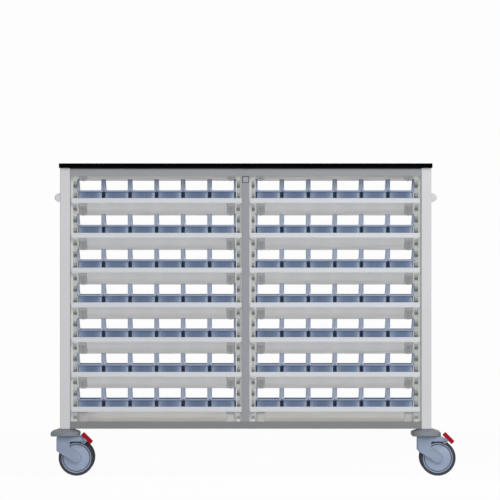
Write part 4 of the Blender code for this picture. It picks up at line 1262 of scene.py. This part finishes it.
class BINCART_OT_pedals(Operator):
    """Make the red brake pedals: a slanted foot bar with ridges, and an ear at each side"""

    bl_idname = "bincart.pedals"
    bl_label = "Brake pedals"

    def execute(self, context):
        sizes = context.scene.bincart_caster
        plastic = pedal_plastic(sizes.pedal_colour)
        grey = caster_plastic("pedal_ear_grey", scaled(sizes.fork_colour, EAR_DARKER), 0.5)
        dark = caster_plastic("pedal_pin_dark", scaled(sizes.bumper_colour, PIN_DARKER), 0.5)
        cosine, sine = math.cos(PEDAL_TILT), math.sin(PEDAL_TILT)
        turn = np.array(((cosine, sine), (-sine, cosine)))
        end = sizes.pedal_thickness / 2
        reach = sizes.pedal_length / 2
        middle = sizes.pedal_standoff + end
        bar_outline = rounded(reach, end, sizes.pedal_round) + (0, middle)
        ear = sizes.pedal_ear
        ear_end = arc((0, 0), ear, math.pi, 2 * math.pi, 10)
        ear_outline = np.concatenate((((ear, middle), (-ear, middle)), ear_end))
        for corner in ("front_left", "front_right"):
            node, body = f"brake_pedal_{corner}", f"pedal_{corner}"
            low, high = node_box(node)
            pin = np.array(JOINTS[f"brake_{corner}"]["pos_m"], float)
            half = (high[1] - low[1]) / 2
            wall = eased(fork_half_width() + SEAT_GAP, half - EAR_INSET, PEDAL_EDGE)
            ears = [swept(ear_outline @ turn, wall * (1, side), ALONG_Y, pin) for side in (-1, 1)]
            piece(f"pedal_ears_{corner}", ears, grey, body, [node])
            skins = [swept(bar_outline @ turn, eased(-half, half, BAR_END), ALONG_Y, pin)]
            wall = eased(-half + RIDGE_MARGIN, half - RIDGE_MARGIN, PEDAL_EDGE)
            for place in np.linspace(-reach * RIDGE_SPREAD, reach * RIDGE_SPREAD, RIDGES):
                ridge = rounded(*RIDGE_HALF, RIDGE_ROUND, EDGE_STEPS) + (place, middle + end - RIDGE_SEAT)
                skins.append(swept(ridge @ turn, wall, ALONG_Y, pin))
            piece(f"pedal_bar_{corner}", skins, plastic, body, [node])
            head = PIN_HEAD * (1, -1) + (0, half)
            pins = [turned(head * (1, side), ALONG_Y, pin, steps=PIN_STEPS) for side in (-1, 1)]
            piece(f"pedal_pins_{corner}", pins, dark, f"caster_{corner}")
        return {"FINISHED"}


# Half the floor's side, and the grey of the floor where seen rays find its shadow
FLOOR_REACH = 14.0
FLOOR_PALE = (0.9, 0.9, 0.9, 1)
WHITE = (1, 1, 1, 1)
# The key lamp's side and its place from the cart's middle
KEY_SIDE = 3.0
KEY_PLACE = (2.8, -4.0, 2.6)
# Directions that the fills shine along, and how wide each is spread
FRONT_WAY = (0.1, 1.0, -0.25)
UNDER_WAY = (0.0, 0.2, 1.0)
FILL_SPREAD = math.radians(60)
SENSOR_WIDTH = 36.0


def floor_skin():
    """The floor: one flat sheet, a straight line along Y carried straight along X."""
    reach = np.array((-FLOOR_REACH, FLOOR_REACH))
    across, along = np.meshgrid(reach, reach, indexing="ij")
    points = np.stack((across, along, np.zeros_like(across)), -1).reshape(-1, 3)
    return points, np.array(((0, 2, 3, 1),))


def floor_material(tint, white):
    """A matt sheet that seen rays find nearly white, and that still takes the cart's shadow."""
    material = bpy.data.materials.new("pale_floor")
    material.use_nodes = True
    tree = material.node_tree
    tree.nodes.clear()
    matt = add_node(tree, "ShaderNodeBsdfDiffuse", Color=(*tint, 1))
    pale = add_node(tree, "ShaderNodeBsdfDiffuse", Color=FLOOR_PALE)
    glow = add_node(tree, "ShaderNodeEmission", Color=WHITE, Strength=1.0)
    seen = add_node(
        tree, "ShaderNodeMixShader", [(1, pale.outputs[0]), (2, glow.outputs[0])], Fac=white
    )
    split_rays(tree, "ShaderNodeOutputMaterial", matt, seen)
    return material


def seen_rays(tree):
    """1 for rays from the camera, from gloss and through clear plastic, and 0 for the rest."""
    path = add_node(tree, "ShaderNodeLightPath")
    total = path.outputs["Is Camera Ray"]
    for kind in ("Is Glossy Ray", "Is Transmission Ray"):
        both = [(0, total), (1, path.outputs[kind])]
        total = add_node(tree, "ShaderNodeMath", both, operation="MAXIMUM").outputs[0]
    return total


def split_rays(tree, output, hidden, seen):
    """Join two shaders to an output: one for the rays that light the cart, one for those that are seen."""
    links = [("Fac", seen_rays(tree)), (1, hidden.outputs[0]), (2, seen.outputs[0])]
    mix = add_node(tree, "ShaderNodeMixShader", links)
    add_node(tree, output, [("Surface", mix.outputs[0])])


def add_lamp(name, kind, energy, place, direction):
    """A lamp at a place that shines along a direction."""
    light = bpy.data.lights.new(name, kind)
    light.energy = energy
    lamp = bpy.data.objects.new(name, light)
    lamp.location = place
    heading = math.atan2(direction[1], direction[0])
    dip = math.atan2(math.hypot(direction[0], direction[1]), -direction[2])
    lamp.rotation_euler = (dip, 0, heading - math.pi / 2)
    bpy.context.scene.collection.objects.link(lamp)
    return lamp


def add_soft_box(name, power, size, place, target):
    """A square lamp that faces a point."""
    lamp = add_lamp(name, "AREA", power, place, np.array(target) - np.array(place))
    lamp.data.size = size


def add_fill(name, strength, direction):
    """Even light along a direction, which casts no shadow, as a white room gives from that side."""
    lamp = add_lamp(name, "SUN", strength, (0, 0, 3), direction)
    lamp.data.angle = FILL_SPREAD
    lamp.data.use_shadow = False
    lamp.visible_glossy = False


class BINCART_OT_stage(Operator):
    """Make the pale floor, the soft light and the camera"""

    bl_idname = "bincart.stage"
    bl_label = "Stage"

    def execute(self, context):
        scene = context.scene
        look = scene.bincart_stage
        scene.view_settings.view_transform = "Standard"
        points, quads = floor_skin()
        mesh = bpy.data.meshes.new("pale_floor")
        mesh.from_pydata(points, [], quads.tolist())
        mesh.materials.append(floor_material(look.floor_colour, look.floor_glow))
        floor = bpy.data.objects.new("pale_floor", mesh)
        scene.collection.objects.link(floor)

        world = bpy.data.worlds.new("soft_studio")
        world.use_nodes = True
        scene.world = world
        tree = world.node_tree
        tree.nodes.clear()
        dim = add_node(tree, "ShaderNodeBackground", Color=WHITE, Strength=look.ambient)
        white = add_node(tree, "ShaderNodeBackground", Color=WHITE, Strength=look.surround)
        split_rays(tree, "ShaderNodeOutputWorld", dim, white)

        low, high = (np.array(corner) for corner in CAD_BOX)
        frame_low, frame_high = node_box("front_frame")
        middle = np.array(((frame_low[0] + frame_high[0]) / 2, 0, (low[2] + high[2]) / 2))
        add_soft_box("key_right", look.key, KEY_SIDE, middle + KEY_PLACE, middle)
        add_fill("front_fill", look.front, FRONT_WAY)
        add_fill("under_fill", look.under, UNDER_WAY)

        camera = bpy.data.cameras.new("front_view")
        camera.sensor_width = SENSOR_WIDTH
        camera.lens = camera.sensor_width * look.camera_distance / look.frame_width
        camera.shift_x = look.shift_x
        camera.shift_y = look.shift_y
        camera.clip_end = 2 * look.camera_distance
        viewer = bpy.data.objects.new("front_view", camera)
        viewer.location = (middle[0], frame_low[1] - look.camera_distance, look.camera_height)
        viewer.rotation_euler = (math.pi / 2, 0, 0)
        scene.collection.objects.link(viewer)
        scene.camera = viewer
        return {"FINISHED"}


OPERATORS = (
    BINCART_OT_stage,
    BINCART_OT_worktop,
    BINCART_OT_posts,
    BINCART_OT_rails,
    BINCART_OT_runner_panels,
    BINCART_OT_handles,
    BINCART_OT_trays,
    BINCART_OT_bins,
    BINCART_OT_bumpers,
    BINCART_OT_forks,
    BINCART_OT_wheels,
    BINCART_OT_pedals,
)


class BINCART_PT_looks(Panel):
    """Lists the pieces of the bin cart and their sizes and colours"""

    bl_idname = "BINCART_PT_looks"
    bl_label = "Bin cart"
    bl_space_type = "VIEW_3D"
    bl_region_type = "UI"
    bl_category = "Bin cart"

    def draw(self, context):
        column = self.layout.column()
        for operator in OPERATORS:
            column.operator(operator.bl_idname)
        for name, group in SETTINGS.items():
            box = self.layout.box()
            box.label(text=group.__doc__)
            for key in group.__annotations__:
                box.prop(getattr(context.scene, name), key)


CLASSES = (*SETTINGS.values(), *OPERATORS, BINCART_PT_looks)


def register():
    """Add the classes and their settings to Blender."""
    for item in CLASSES:
        bpy.utils.register_class(item)
    for name, group in SETTINGS.items():
        setattr(bpy.types.Scene, name, PointerProperty(type=group))


def unregister():
    """Take the settings and the classes out again."""
    for name in SETTINGS:
        delattr(bpy.types.Scene, name)
    for item in reversed(CLASSES):
        bpy.utils.unregister_class(item)


def main():
    """Make every piece in order."""
    register()
    for operator in OPERATORS:
        group, name = operator.bl_idname.split(".")
        getattr(getattr(bpy.ops, group), name)()


if __name__ == "__main__":
    main()
